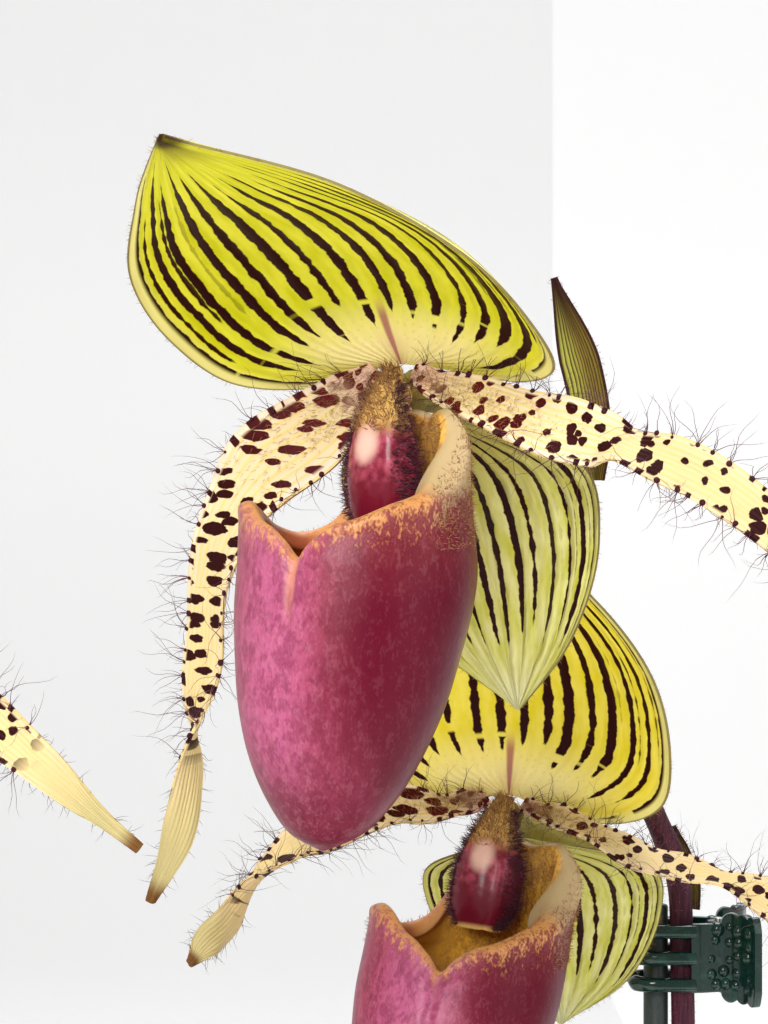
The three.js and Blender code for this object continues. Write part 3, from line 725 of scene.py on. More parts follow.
def build_stripes(sheet: Sheet, across: Value, along: Value, count: Value, width: Value, start: Value,
                  end: Value, ragged: Value, seed: Value, breaks: Value) -> Value:
    """Dark stripes that follow the veins, each with its own width, ends, ragged sides and breaks."""
    cells = across * count
    index = sheet.sum("FLOOR", cells)
    red, green, blue = sheet.axes(sheet.draw(seed * 17.0 + index, "Color"))
    local = sheet.sum("FRACT", cells) - 0.5 + (red - 0.5) * 0.24
    start = blue * 0.12 + start
    end = end - red * 0.09
    opens, closes = along.rise(start, start + 0.1), along.rise(end, end - 0.16)
    spread = width * (green * 0.75 + 0.6) * (opens * closes)
    fine = sheet.noise(sheet.vector(cells * 1.2, along * 26.0), 1.0, 3.0)
    edge = abs(local) + (fine - 0.5) * ragged
    mask = edge.rise(spread + 0.03, spread - 0.03)
    rows = sheet.vector(index * 7.3, index * 3.61 + along * 13.0)
    whole = sheet.noise(rows, 1.0, 1.0) + along.rise(0.3, 0.75)
    return mask * whole.rise(breaks, breaks + 0.05) * spread.rise(0.015, 0.05)


def build_veins(sheet: Sheet, across: Value, along: Value, count: Value) -> Value:
    """Fine parallel veins: a raised profile from 0 to 1 that wanders a little."""
    drift = sheet.noise(sheet.vector(across * 6.0, along * 9.0), 1.0, 2.0)
    place = across * count + drift * 0.7
    return sheet.sum("SINE", place * (2 * math.pi)) * 0.5 + 0.5


def build_spots(sheet: Sheet, along: Value, across: Value, skew: Value, squeeze: Value, density: Value,
                size: Value) -> Value:
    """Round to long blotches, one to a cell, each with its own size and a ragged edge."""
    place = sheet.vector((across * skew + along) * density, across * squeeze * density)
    cells = sheet.add("ShaderNodeTexVoronoi", voronoi_dimensions="2D")
    for name, value in (("Vector", place), ("Scale", 1.0), ("Randomness", 0.85)):
        sheet.put(cells.inputs[name], value)
    red, green, _ = sheet.axes(cells.outputs["Color"])
    size = size * (red * 0.7 + 0.5)
    reach = (sheet.noise(place, 1.9, 2.0) - 0.5) * 0.55 + cells.outputs["Distance"]
    return reach.rise(size + 0.03, size - 0.03) * sheet.sum("GREATER_THAN", green, 0.13)


def build_mottle(sheet: Sheet, x: Value, y: Value, z: Value, low: Value, high: Value) -> Value:
    """Broken streaks of two sizes, from 0 to 1."""
    place = sheet.vector(x, y, z)
    mixed = sheet.noise(place, 3.4, 3.0, 0.2) * 0.45 + sheet.noise(place, 1.0, 4.0, 0.4) * 0.55
    return mixed.rise(low, high)


STRIPES = Effect("Vein stripes",
                 ("across", "along", "count", "width", "start", "end", "ragged", "seed", "breaks"), "Mask",
                 build_stripes)
VEINS = Effect("Fine veins", ("across", "along", "count"), "Height", build_veins)
SPOTS = Effect("Blotches", ("along", "across", "skew", "squeeze", "density", "size"), "Mask", build_spots)
MOTTLE = Effect("Mottling", ("x", "y", "z", "low", "high"), "Value", build_mottle)


class Finish:
    """A material being made: its nodes and its Principled shader."""

    def __init__(self, name: str, roughness: float = 0.5, **sockets: object) -> None:
        """Starts the material.

        Args:
            name: the material's name.
            roughness: its roughness all over, unless a pattern is joined to it later.
            sockets: other plain values of the shader, spaces written as underscores.
        """
        self.material = bpy.data.materials.new(name)
        self.material.use_nodes = True
        self.sheet = Sheet(self.material.node_tree)
        self.shader = self.material.node_tree.nodes["Principled BSDF"]
        self.shader.inputs["Roughness"].default_value = roughness
        for key, value in sockets.items():
            self.shader.inputs[key.replace("_", " ")].default_value = value

    def colour(self, value: object) -> None:
        """Sets or joins the base colour."""
        self.sheet.put(self.shader.inputs["Base Color"], value)

    def rough(self, value: object) -> None:
        """Sets or joins the roughness."""
        self.sheet.put(self.shader.inputs["Roughness"], value)

    def relief(self, height: object, depth: float, strength: float = 1.0) -> None:
        """Adds a bump of this depth in millimetres."""
        bump = self.sheet.add("ShaderNodeBump")
        bump.inputs["Strength"].default_value = strength
        bump.inputs["Distance"].default_value = depth * MM
        self.sheet.put(bump.inputs["Height"], height)
        self.sheet.put(self.shader.inputs["Normal"], bump.outputs[0])


def colour(red: float, green: float, blue: float) -> Colour:
    """Turns a picture's 0 to 255 values into a shader colour."""
    def linear(value: float) -> float:
        """Undoes the picture's gamma."""
        share = value / 255
        return share / 12.92 if share <= 0.04045 else ((share + 0.055) / 1.055) ** 2.4
    return (linear(red), linear(green), linear(blue), 1.0)


DARK_MAROON = colour(42, 4, 4)


@dataclass(frozen=True)
class SepalFinish:
    """A striped sepal: ground colour, paler margins, dark stripes along the veins."""

    name: str
    ground: Colour
    glow: Colour
    margin: Colour
    base: Colour
    tip: Colour
    count: float
    width: float
    second_width: float
    start: float
    end: float
    seed: float
    ribs: float
    streak: Colour
    thinner: float = 0.35
    slant: float = 0.0
    flushed: float = 0.22
    freckled: float = 0.8
    pleat: float = 0.16
    breaks: float = 0.4
    point: float = 0.85

    def material(self) -> Material:
        """Builds the material."""
        finish = Finish(self.name, 0.5, Subsurface_Weight=0.06, Subsurface_Scale=0.001,
                        Specular_IOR_Level=0.08)
        sheet = finish.sheet
        across, along, _ = sheet.layout()
        off = off_middle(across)
        start = off * self.slant + self.start
        common = dict(along=along, count=self.count, start=start, ragged=0.32, breaks=self.breaks)
        width = across.rise(0.45, 0.9) * (-self.thinner * self.width) + self.width
        main = STRIPES.place(sheet, across=across, width=width, end=self.end, seed=self.seed, **common)
        between = across + 0.5 / self.count
        common["start"] = self.start + 0.12
        second = STRIPES.place(sheet, across=between, width=self.second_width, end=self.end - 0.1,
                               seed=self.seed + 3, **common)
        stripes = sheet.sum("MAXIMUM", main, second * off.rise(0.5, 0.75))
        inside = off.rise(0.955, 0.925)
        tip = along.rise(self.end - 0.08, min(self.end + 0.12, 1.0)) * off.rise(0.75, 0.3)
        veins = VEINS.place(sheet, across=across, along=along, count=self.ribs)
        soft = sheet.noise(sheet.vector(across * 30.0, along * 8.0), 1.0, 3.0)
        fade = soft * 0.12 + along
        low = fade.rise(0.42, 0.18) * off.rise(1.0, 0.45)
        line = off.rise(0.035, 0.012) * along.rise(0.34, 0.24)
        flush = off.rise(0.2, 0.0) * along.rise(0.24, 0.1)
        freckle = SPOTS.place(sheet, along=along * 9.0, across=across * 8.0, skew=0.0, squeeze=1.6,
                              density=3.4, size=0.2)
        freckle = freckle * along.rise(self.start + 0.14, self.start) * along.rise(0.05, 0.08)
        finish.colour(sheet.layers(
            self.ground, (soft.rise(0.3, 0.7), self.glow), (veins * 0.22, self.glow),
            (off.rise(0.88, 0.97), self.margin), (low, self.base), (tip, self.tip),
            (flush * self.flushed, self.streak), (line * 0.75, self.streak),
            (freckle * self.freckled, self.streak), (along.rise(0.97, 0.992) * self.point, DARK_MAROON),
            (stripes * inside, DARK_MAROON), (off.rise(0.985, 0.997) * 0.75, DARK_MAROON)))
        finish.relief(soft * 0.5 + veins, self.pleat, 0.7)
        return finish.material


@dataclass(frozen=True)
class PetalFinish:
    """A spotted petal: cream with fine veins, blotches on the face and dashes at the margins."""

    name: str
    ground: Colour = colour(218, 196, 156)
    pale: Colour = colour(228, 206, 182)
    vein: Colour = colour(224, 192, 100)
    dusk: Colour = colour(212, 186, 122)
    tip: Colour = colour(188, 172, 118)
    end: Colour = colour(110, 72, 34)
    rosy: Colour = colour(222, 160, 150)
    red: Colour = colour(92, 14, 20)
    bare_from: float = 0.74
    dash_pitch: float = 0.23

    def material(self) -> Material:
        """Builds the material."""
        finish = Finish(self.name, 0.55, Subsurface_Weight=0.08, Subsurface_Scale=0.001,
                        Specular_IOR_Level=0.1)
        sheet = finish.sheet
        right, _, up = sheet.bloom_place()
        across, along, _ = sheet.layout()
        far, side, _ = sheet.layout("Span")
        off = off_middle(across)
        veins = VEINS.place(sheet, across=across, along=along, count=9.0)
        near = along.rise(0.17, 0.06)
        base = sheet.layers(
            self.ground, (off.rise(0.45, 0.95), self.pale), (veins.rise(0.55, 0.95) * 0.6, self.vein),
            (along.rise(0.16, 0.02), self.pale), (along.rise(0.35, 0.6) * 0.5, self.dusk),
            (along.rise(self.bare_from, 0.92), self.tip), (along.rise(0.955, 0.99), self.end),
            (near * 0.5, self.rosy))
        wider = sheet.sum("MAXIMUM", right, 0.0) * 2.2
        wide = SPOTS.place(sheet, along=right * 2.3 + wider, across=up, skew=0.25, squeeze=5.2, density=1.0,
                           size=0.385)
        small = SPOTS.place(sheet, along=right, across=up, skew=0.0, squeeze=1.15, density=5.0, size=0.38)
        face = sheet.sum("MAXIMUM", wide * along.rise(0.08, 0.14), small * near) * off.rise(0.9, 0.78)
        pitch = sheet.sum("SINE", far * 9.0) * 0.045 + far
        dash_place = pitch / self.dash_pitch
        beat = abs(sheet.sum("FRACT", dash_place) - 0.5)
        number = sheet.sum("FLOOR", dash_place)
        kept = sheet.sum("GREATER_THAN", sheet.draw(sheet.sum("SIGN", side) * 57.3 + number, "Value"), 0.36)
        uneven = sheet.noise(sheet.vector(far * 6.0, side * 3.0), 1.0, 1.0)
        dash = beat.rise(uneven * 0.6 - 0.08, uneven * 0.6 - 0.14)
        rim = off.rise(uneven * -0.24 + 0.92, uneven * -0.24 + 0.96)
        spots = sheet.sum("MAXIMUM", face, dash * rim * kept) * along.rise(0.8, self.bare_from)
        ink = sheet.blend(along.rise(0.4, 0.1), DARK_MAROON, self.red)
        finish.colour(sheet.blend(spots, base, ink))
        finish.relief(veins, 0.12, 0.6)
        return finish.material


@dataclass(frozen=True)
class LipFinish:
    """The glossy pouch: rose to crimson streaks, a tan rim, a golden inside and cream side lobes; the pale
    band down its front left is partly painted highlight, and its darker right side is partly painted shade.
    """

    name: str = "lip"
    rose: Colour = colour(150, 58, 84)
    mauve_and_highlight: Colour = colour(182, 96, 134)
    crimson: Colour = colour(88, 0, 28)
    brown: Colour = colour(120, 42, 44)
    pale: Colour = colour(224, 158, 168)
    tan: Colour = colour(210, 150, 92)
    cream: Colour = colour(184, 160, 120)
    gold: Colour = colour(236, 178, 60)
    russet: Colour = colour(140, 46, 34)
    hazel: Colour = colour(158, 100, 44)
    green: Colour = colour(168, 142, 96)
    rim_from: float = 0.42
    rim_to: float = 0.55

    def material(self) -> Material:
        """Builds the material."""
        finish = Finish(self.name, 0.36, Subsurface_Weight=0.05, Subsurface_Scale=0.001, Coat_Weight=0.04,
                        Coat_Roughness=0.3, Specular_IOR_Level=0.16)
        sheet = finish.sheet
        around, down, _ = sheet.layout()
        right, back, up = sheet.bloom_place()
        streaks = MOTTLE.place(sheet, x=right * 10.0, y=back * 10.0, z=up * 6.0, low=0.33, high=0.67)
        cloud = MOTTLE.place(sheet, x=right * 1.3, y=back * 1.3, z=up * 0.8, low=0.35, high=0.65)
        blots = MOTTLE.place(sheet, x=right * 4.0, y=back * 4.0, z=up * 2.6, low=0.42, high=0.62)
        # Darker crimson towards the lower right and brown towards the upper right: partly the pouch's own
        # colour, partly painted shade on its right side.
        deep = right.rise(0.05, 1.1) * up.rise(-1.4, -3.2)
        deep = sheet.sum("ADD", cloud * 0.14, deep * 0.95, clamp=True)
        toe = up.rise(-3.9, -5.6) * 0.75
        # A pale mauve band down the front left of the pouch: partly its own paler colour, partly a painted
        # highlight.
        highlight_band = right.rise(-1.15, -0.5) * right.rise(0.55, -0.1) * up.rise(-5.6, -4.2)
        under = back.rise(-0.9, -0.35) * up.rise(-2.4, -4.4)
        front = sheet.sum("MINIMUM", around, 1.0 - around)
        seam = front.rise(0.011, 0.002) * up.rise(-3.3, -2.3)
        outside = sheet.layers(
            self.rose, (right.rise(0.0, 1.3) * up.rise(-4.2, -2.6), self.brown),
            (sheet.sum("MAXIMUM", deep, toe), self.crimson), (highlight_band * 0.62, self.mauve_and_highlight),
            (blots.rise(0.6, 0.0) * 0.34, self.crimson),
            (streaks.rise(0.5, 1.0) * (deep * -0.08 + 0.11), self.pale),
            (streaks.rise(0.45, 0.0) * 0.26, self.crimson), (under * 0.85, self.green),
            (seam * 0.6, self.tan))
        ear = around.rise(0.6, 0.7) * around.rise(1.0, 0.93)
        throat = around.rise(0.28, 0.34) * around.rise(0.6, 0.5)
        inside = sheet.layers(self.gold, (streaks * 0.5, self.tan), (ear * 0.85, self.russet),
                              (throat * streaks, self.hazel))
        wall = down.rise(self.rim_from - 0.02, self.rim_from)
        ragged = (streaks - 0.5) * 0.13 + down
        edge = ragged.rise(self.rim_to + 0.07, self.rim_from + 0.07) * wall
        toes = around.rise(0.62, 0.7) * (wall * down.rise(0.5, 0.475))
        height = (streaks - 0.5) * 0.22 + up
        lobe = around.rise(0.165, 0.205) * around.rise(0.52, 0.46) * height.rise(-1.66, -1.5)
        crest = around.rise(0.17, 0.22) * around.rise(0.6, 0.5)
        rolled = around.rise(0.26, 0.31) * around.rise(0.62, 0.52) * down.rise(0.495, 0.47)
        finish.colour(sheet.layers(
            inside, (wall, sheet.blend(lobe * 0.9, outside, self.cream)),
            (edge * 0.9, sheet.blend(crest, self.tan, self.cream)),
            (toes * 0.8, sheet.blend(ear, self.gold, self.russet)),
            (rolled * 0.85, sheet.blend(streaks, self.gold, self.hazel))))
        fine = sheet.noise(sheet.object_place(), 1100.0, 3.0)
        finish.relief(streaks * 0.4 + fine, 0.05, 0.5)
        return finish.material


@dataclass(frozen=True)
class ColumnFinish:
    """The shield: golden at its top, a painted cream highlight, then maroon."""

    name: str = "column"
    gold: Colour = colour(220, 176, 104)
    # cream is the colour of the painted highlight on the shield's face.
    cream: Colour = colour(248, 204, 186)
    maroon: Colour = colour(112, 20, 40)
    rose: Colour = colour(176, 74, 96)

    def material(self) -> Material:
        """Builds the material."""
        finish = Finish(self.name, 0.26, Subsurface_Weight=0.05, Subsurface_Scale=0.001,
                        Specular_IOR_Level=0.3)
        sheet = finish.sheet
        right, _, up = sheet.bloom_place()
        mottle = sheet.noise(sheet.object_place(), 700.0, 3.0)
        # A soft cream spot near the top of the face: a painted highlight, glossy light on the shield.
        beside_highlight, above = right + 0.08, up + 1.0
        square = beside_highlight * beside_highlight + above * above * 0.6
        finish.colour(sheet.layers(
            self.maroon, (mottle.rise(0.35, 0.75), self.rose), (up.rise(-1.25, -1.7), self.maroon),
            (up.rise(-0.95, -0.6), self.gold), (up.rise(-1.98, -2.06), self.gold),
            (square.rise(0.06, 0.0) * 0.8, self.cream)))
        finish.relief(mottle, 0.1, 0.6)
        return finish.material


@dataclass(frozen=True)
class HairFinish:
    """Hairs of one colour, a little uneven."""

    name: str
    dark: Colour
    light: Colour

    def material(self) -> Material:
        """Builds the material."""
        finish = Finish(self.name, 0.6, Specular_IOR_Level=0.15)
        sheet = finish.sheet
        finish.colour(sheet.blend(sheet.noise(sheet.object_place(), 260.0, 1.0), self.dark, self.light))
        return finish.material


@dataclass(frozen=True)
class StemFinish:
    """A downy dark stem, greener towards its foot."""

    name: str = "stem"
    dark: Colour = colour(44, 18, 30)
    flush: Colour = colour(92, 38, 56)
    green: Colour = colour(84, 78, 44)
    olive: Colour = colour(150, 138, 58)

    def material(self) -> Material:
        """Builds the material."""
        finish = Finish(self.name, 0.6, Specular_IOR_Level=0.2)
        sheet = finish.sheet
        x, y, z = sheet.axes(sheet.object_place())
        streaks = MOTTLE.place(sheet, x=x * 900.0, y=y * 900.0, z=z * 60.0, low=0.35, high=0.65)
        ovary = z.rise(0.3, 0.32) * y.rise(0.027, 0.02)
        finish.colour(sheet.layers(self.dark, (streaks, self.flush), (z.rise(0.26, 0.1) * 0.7, self.green),
                                   (ovary * 0.85, self.olive)))
        finish.relief(streaks, 0.15, 0.6)
        return finish.material


@dataclass(frozen=True)
class BractFinish:
    """A folded bract: olive with dark veins and a dark tip and edge."""

    name: str = "bract"
    olive: Colour = colour(122, 104, 44)
    green: Colour = colour(160, 158, 70)
    dark: Colour = colour(50, 20, 16)

    def material(self) -> Material:
        """Builds the material."""
        finish = Finish(self.name, 0.5, Specular_IOR_Level=0.15)
        sheet = finish.sheet
        across, along, _ = sheet.layout()
        veins = VEINS.place(sheet, across=across, along=along, count=11.0)
        finish.colour(sheet.layers(
            self.olive, (across.rise(0.35, 0.95), self.green), (veins.rise(0.62, 0.86) * 0.85, self.dark),
            (off_middle(across).rise(0.88, 1.0), self.dark), (along.rise(0.7, 1.0), self.dark)))
        finish.relief(veins, 0.15, 0.7)
        return finish.material


@dataclass(frozen=True)
class LeafFinish:
    """A thick strap leaf: deep green, faint veins and mottling, darker along the middle, a pale edge and a
    pale foot.
    """

    name: str = "leaf"
    deep: Colour = colour(44, 82, 34)
    fresh: Colour = colour(92, 132, 52)
    pale: Colour = colour(136, 160, 84)

    def material(self) -> Material:
        """Builds the material."""
        finish = Finish(self.name, 0.36, Coat_Weight=0.15, Coat_Roughness=0.3, Subsurface_Weight=0.05,
                        Subsurface_Scale=0.002)
        sheet = finish.sheet
        across, along, _ = sheet.layout()
        off = off_middle(across)
        veins = VEINS.place(sheet, across=across, along=along, count=26.0)
        mottle = MOTTLE.place(sheet, x=across * 9.0, y=along * 22.0, z=0.0, low=0.35, high=0.7)
        finish.colour(sheet.layers(
            self.deep, (mottle, self.fresh), (veins * 0.16, self.pale),
            (off.rise(0.07, 0.0) * 0.55, self.deep), (off.rise(0.94, 1.0) * 0.7, self.pale),
            (along.rise(0.12, 0.0), self.pale)))
        finish.relief(veins, 0.12, 0.5)
        return finish.material


@dataclass(frozen=True)
class ClayFinish:
    """Fired clay: warm, grainy, with pale mineral bloom near the foot and under the rim."""

    name: str = "clay"
    warm: Colour = colour(190, 104, 70)
    dark: Colour = colour(150, 78, 52)
    bloom: Colour = colour(222, 190, 166)

    def material(self) -> Material:
        """Builds the material."""
        finish = Finish(self.name, 0.85)
        sheet = finish.sheet
        place = sheet.object_place()
        x, y, z = sheet.axes(place)
        cloud = sheet.noise(place, 26.0, 5.0, 0.6)
        grain = sheet.noise(place, 900.0, 3.0)
        low = sheet.sum("ADD", z.rise(0.03, 0.0), z.rise(0.085, 0.098), clamp=True)
        salts = low * sheet.noise(place, 60.0, 5.0, 1.0).rise(0.45, 0.7)
        finish.colour(sheet.layers(
            self.warm, (cloud.rise(0.35, 0.65), self.dark), (grain.rise(0.55, 0.75) * 0.35, self.bloom),
            (salts * 0.7, self.bloom)))
        rings = sheet.noise(sheet.vector(x * 4.0, y * 4.0, z * 420.0), 1.0, 2.0)
        finish.relief(rings * 0.8 + grain, 0.25, 0.7)
        return finish.material


@dataclass(frozen=True)
class BarkFinish:
    """Bark chips: brown to grey, with rough layered faces."""

    name: str
    dark: Colour
    light: Colour

    def material(self) -> Material:
        """Builds the material."""
        finish = Finish(self.name, 0.92)
        sheet = finish.sheet
        place = sheet.object_place()
        coarse = sheet.noise(place, 120.0, 4.0, 0.8)
        fine = sheet.noise(place, 700.0, 4.0, 0.6)
        mixed = fine * 0.5 + coarse * 0.5
        finish.colour(sheet.blend(mixed.rise(0.36, 0.64), self.dark, self.light))
        finish.relief(mixed, 0.8, 0.9)
        return finish.material


@dataclass(frozen=True)
class HardFinish:
    """A plastic or metal part: one colour, small unevenness and a scuffed sheen."""

    name: str
    base: Colour
    worn: Colour
    low: float
    high: float
    metallic: float = 0.0
    relief: float = 0.03

    def material(self) -> Material:
        """Builds the material."""
        finish = Finish(self.name, self.low, Metallic=self.metallic)
        sheet = finish.sheet
        place = sheet.object_place()
        scuffs = sheet.noise(place, 420.0, 4.0, 0.5)
        finish.colour(sheet.blend(scuffs.rise(0.5, 0.8) * 0.4, self.base, self.worn))
        share = scuffs.rise(0.35, 0.7)
        finish.rough(share * (self.high - self.low) + self.low)
        finish.relief(scuffs, self.relief, 0.5)
        return finish.material


class Palette:
    """Every finish of the plant, each built once."""

    def __init__(self) -> None:
        """Builds the materials."""
        dorsal = dict(margin=colour(236, 226, 140), base=colour(255, 238, 158), tip=colour(136, 118, 30),
                      count=16.0, width=0.195, second_width=0.08, start=0.18, end=0.99, ribs=26.0,
                      streak=colour(150, 24, 84), slant=-0.12, thinner=-0.1, freckled=0.1, breaks=0.36)
        greens = dict(ground=colour(204, 202, 8), glow=colour(230, 224, 60))
        yellows = dict(ground=colour(226, 206, 30), glow=colour(240, 222, 88))
        thin = dict(dorsal, width=0.165, second_width=0.04)
        self.dorsal = [
            SepalFinish("dorsal_1", seed=4.0, **greens, **dorsal).material(),
            SepalFinish("dorsal_2", seed=9.0, **yellows, **thin).material(),
            SepalFinish("dorsal_3", seed=13.0, **greens, **dorsal).material(),
        ]
        self.synsepal = SepalFinish(
            "synsepal", ground=colour(198, 194, 68), glow=colour(226, 220, 146),
            margin=colour(212, 208, 116), base=colour(206, 198, 104), tip=colour(224, 218, 160),
            streak=colour(150, 160, 60), count=14.0, width=0.15, second_width=0.03, start=0.02, end=0.84,
            seed=2.0, ribs=14.0, thinner=0.0, flushed=0.0, freckled=0.0, pleat=0.7, breaks=0.0,
            point=0.0).material()
        self.petal = PetalFinish("petal").material()
        self.lip = LipFinish().material()
        self.column = ColumnFinish().material()
        self.stem = StemFinish().material()
        self.bract = BractFinish().material()
        self.leaf = LeafFinish().material()
        self.clay = ClayFinish().material()
        self.bark = BarkFinish("bark_bed", colour(38, 24, 16), colour(78, 54, 38)).material()
        self.chips = [
            BarkFinish("bark_brown", colour(66, 38, 24), colour(128, 82, 54)).material(),
            BarkFinish("bark_grey", colour(82, 66, 54), colour(142, 120, 100)).material(),
            BarkFinish("perlite", colour(206, 202, 192), colour(240, 238, 232)).material(),
        ]
        self.maroon_hair = HairFinish("maroon_hair", colour(54, 20, 34), colour(112, 70, 84)).material()
        self.tan_hair = HairFinish("tan_hair", colour(116, 66, 44), colour(204, 156, 104)).material()
        self.pale_hair = HairFinish("pale_hair", colour(92, 66, 66), colour(150, 126, 112)).material()
        self.wart = HairFinish("wart", colour(40, 8, 16), colour(70, 18, 30)).material()
        self.clip = HardFinish("clip", colour(8, 40, 34), colour(42, 92, 80), 0.08, 0.2).material()
        self.stake = HardFinish("stake", colour(36, 46, 44), colour(84, 94, 88), 0.4, 0.6).material()
        self.steel = HardFinish("steel", colour(186, 188, 190), colour(150, 148, 146), 0.25, 0.45,
                                metallic=1.0).material()


# Blooms


@dataclass(frozen=True)
class BloomPose:
    """Where a bloom stands, in millimetres, and how it is turned, in degrees."""

    name: str
    place: Triple
    yaw: float
    roll: float
    tilt: float

    @property
    def matrix(self) -> Matrix:
        """The bloom's place in metres."""
        turn = (Matrix.Rotation(math.radians(-self.yaw), 4, "Z")
                @ Matrix.Rotation(math.radians(self.roll), 4, "Y")
                @ Matrix.Rotation(math.radians(-self.tilt), 4, "X"))
        return Matrix.Translation(Vector(self.place) * MM) @ turn

    def point(self, right: float, up: float, forward: float) -> Points:
        """Returns a bloom's own point in the plant's frame, in millimetres."""
        local = Vector((right, -forward, up)) * MM
        return np.array(self.matrix @ local) / MM


@dataclass
class Sepal:
    """A sepal that is alike on both sides: half its outline, and its midvein."""

    midvein: Sequence[Triple]
    margin: Sequence[Triple]
    sweep: float = math.pi / 3
    thickness: float = 0.9
    rows: int = 96
    columns: int = 72
    flute: float = 0.0
    flutes: float = 9.0
    lift: float = 0.0
    sway: float = 0.0
    lean: float = 0.0

    def surface(self) -> Surface:
        """Returns the sepal's middle surface, turned about its foot by its lift and sway."""
        middle, edge = Curve(bloom_points(self.midvein)), Curve(bloom_points(self.margin))
        foot = middle.points[0]
        turn_over = np.array(Matrix.Rotation(math.radians(self.sway), 3, "Y")
                             @ Matrix.Rotation(math.radians(self.lift), 3, "X"))

        def shape(along: Points, across: Points) -> Points:
            """Places each corner between the midvein and the margin."""
            centre, rim = middle.at(along), edge.at(along)
            turn = np.abs(across) * self.sweep
            share = (1 - np.cos(turn)) / (1 - math.cos(self.sweep))
            right = np.sign(across) * rim[:, 0] * np.sin(turn) / math.sin(self.sweep)
            right = right + self.lean * np.sin(math.pi * np.clip(along, 0, 1) ** 0.6)
            crease = self.flute * np.cos(math.pi * self.flutes * across) * eased(along, 0.0, 0.25)
            crease = crease * eased(along, 1.0, 0.8) * (1 - eased(np.abs(across), 0.8, 1.0))
            faded = np.abs(across) ** 3 * eased(along, 1.0, 0.7)
            wave = 0.5 * np.sin(11 * along + 2.0 * np.sign(across)) * faded
            back = centre[:, 1] + share * (rim[:, 1] - centre[:, 1]) + crease + wave
            flat = np.stack([right, back, centre[:, 2] + share * (rim[:, 2] - centre[:, 2])], axis=1)
            return (flat - foot) @ turn_over.T + foot

        return Surface(shape)

    def build(self, name: str, pose: BloomPose) -> Piece:
        """Makes the sepal's mesh in place."""
        piece = shaped_grid(name, self.rows, self.columns, self.surface().shape)
        thicken(piece, self.thickness, 0.35)
        piece.data.transform(pose.matrix)
        smooth(piece)
        return piece

    def tuft(self, coat: HairCoat, count: int, style: HairStyle) -> None:
        """Grows a tuft of hairs round the tip."""
        along = coat.random.uniform(0.965, 1.0, count)
        place, lengthwise, _, _ = self.surface().frame(along, coat.random.uniform(-1, 1, count))
        coat.grow(place, lengthwise + 0.9 * coat.random.normal(size=place.shape), style)

    def cilia(self, coat: HairCoat, count: int, style: HairStyle) -> None:
        """Grows hairs out of both margins.

        Args:
            coat: the coat that takes the hairs.
            count: how many.
            style: the kind of hair.
        """
        along = coat.random.uniform(0.06, 1.0, count)
        side = coat.random.choice([-1.0, 1.0], count)
        place, lengthwise, sideways, _ = self.surface().frame(along, side * 0.995)
        aim = sideways * side[:, None] + 0.5 * lengthwise + 0.4 * coat.random.normal(size=place.shape)
        coat.grow(place, aim, style)


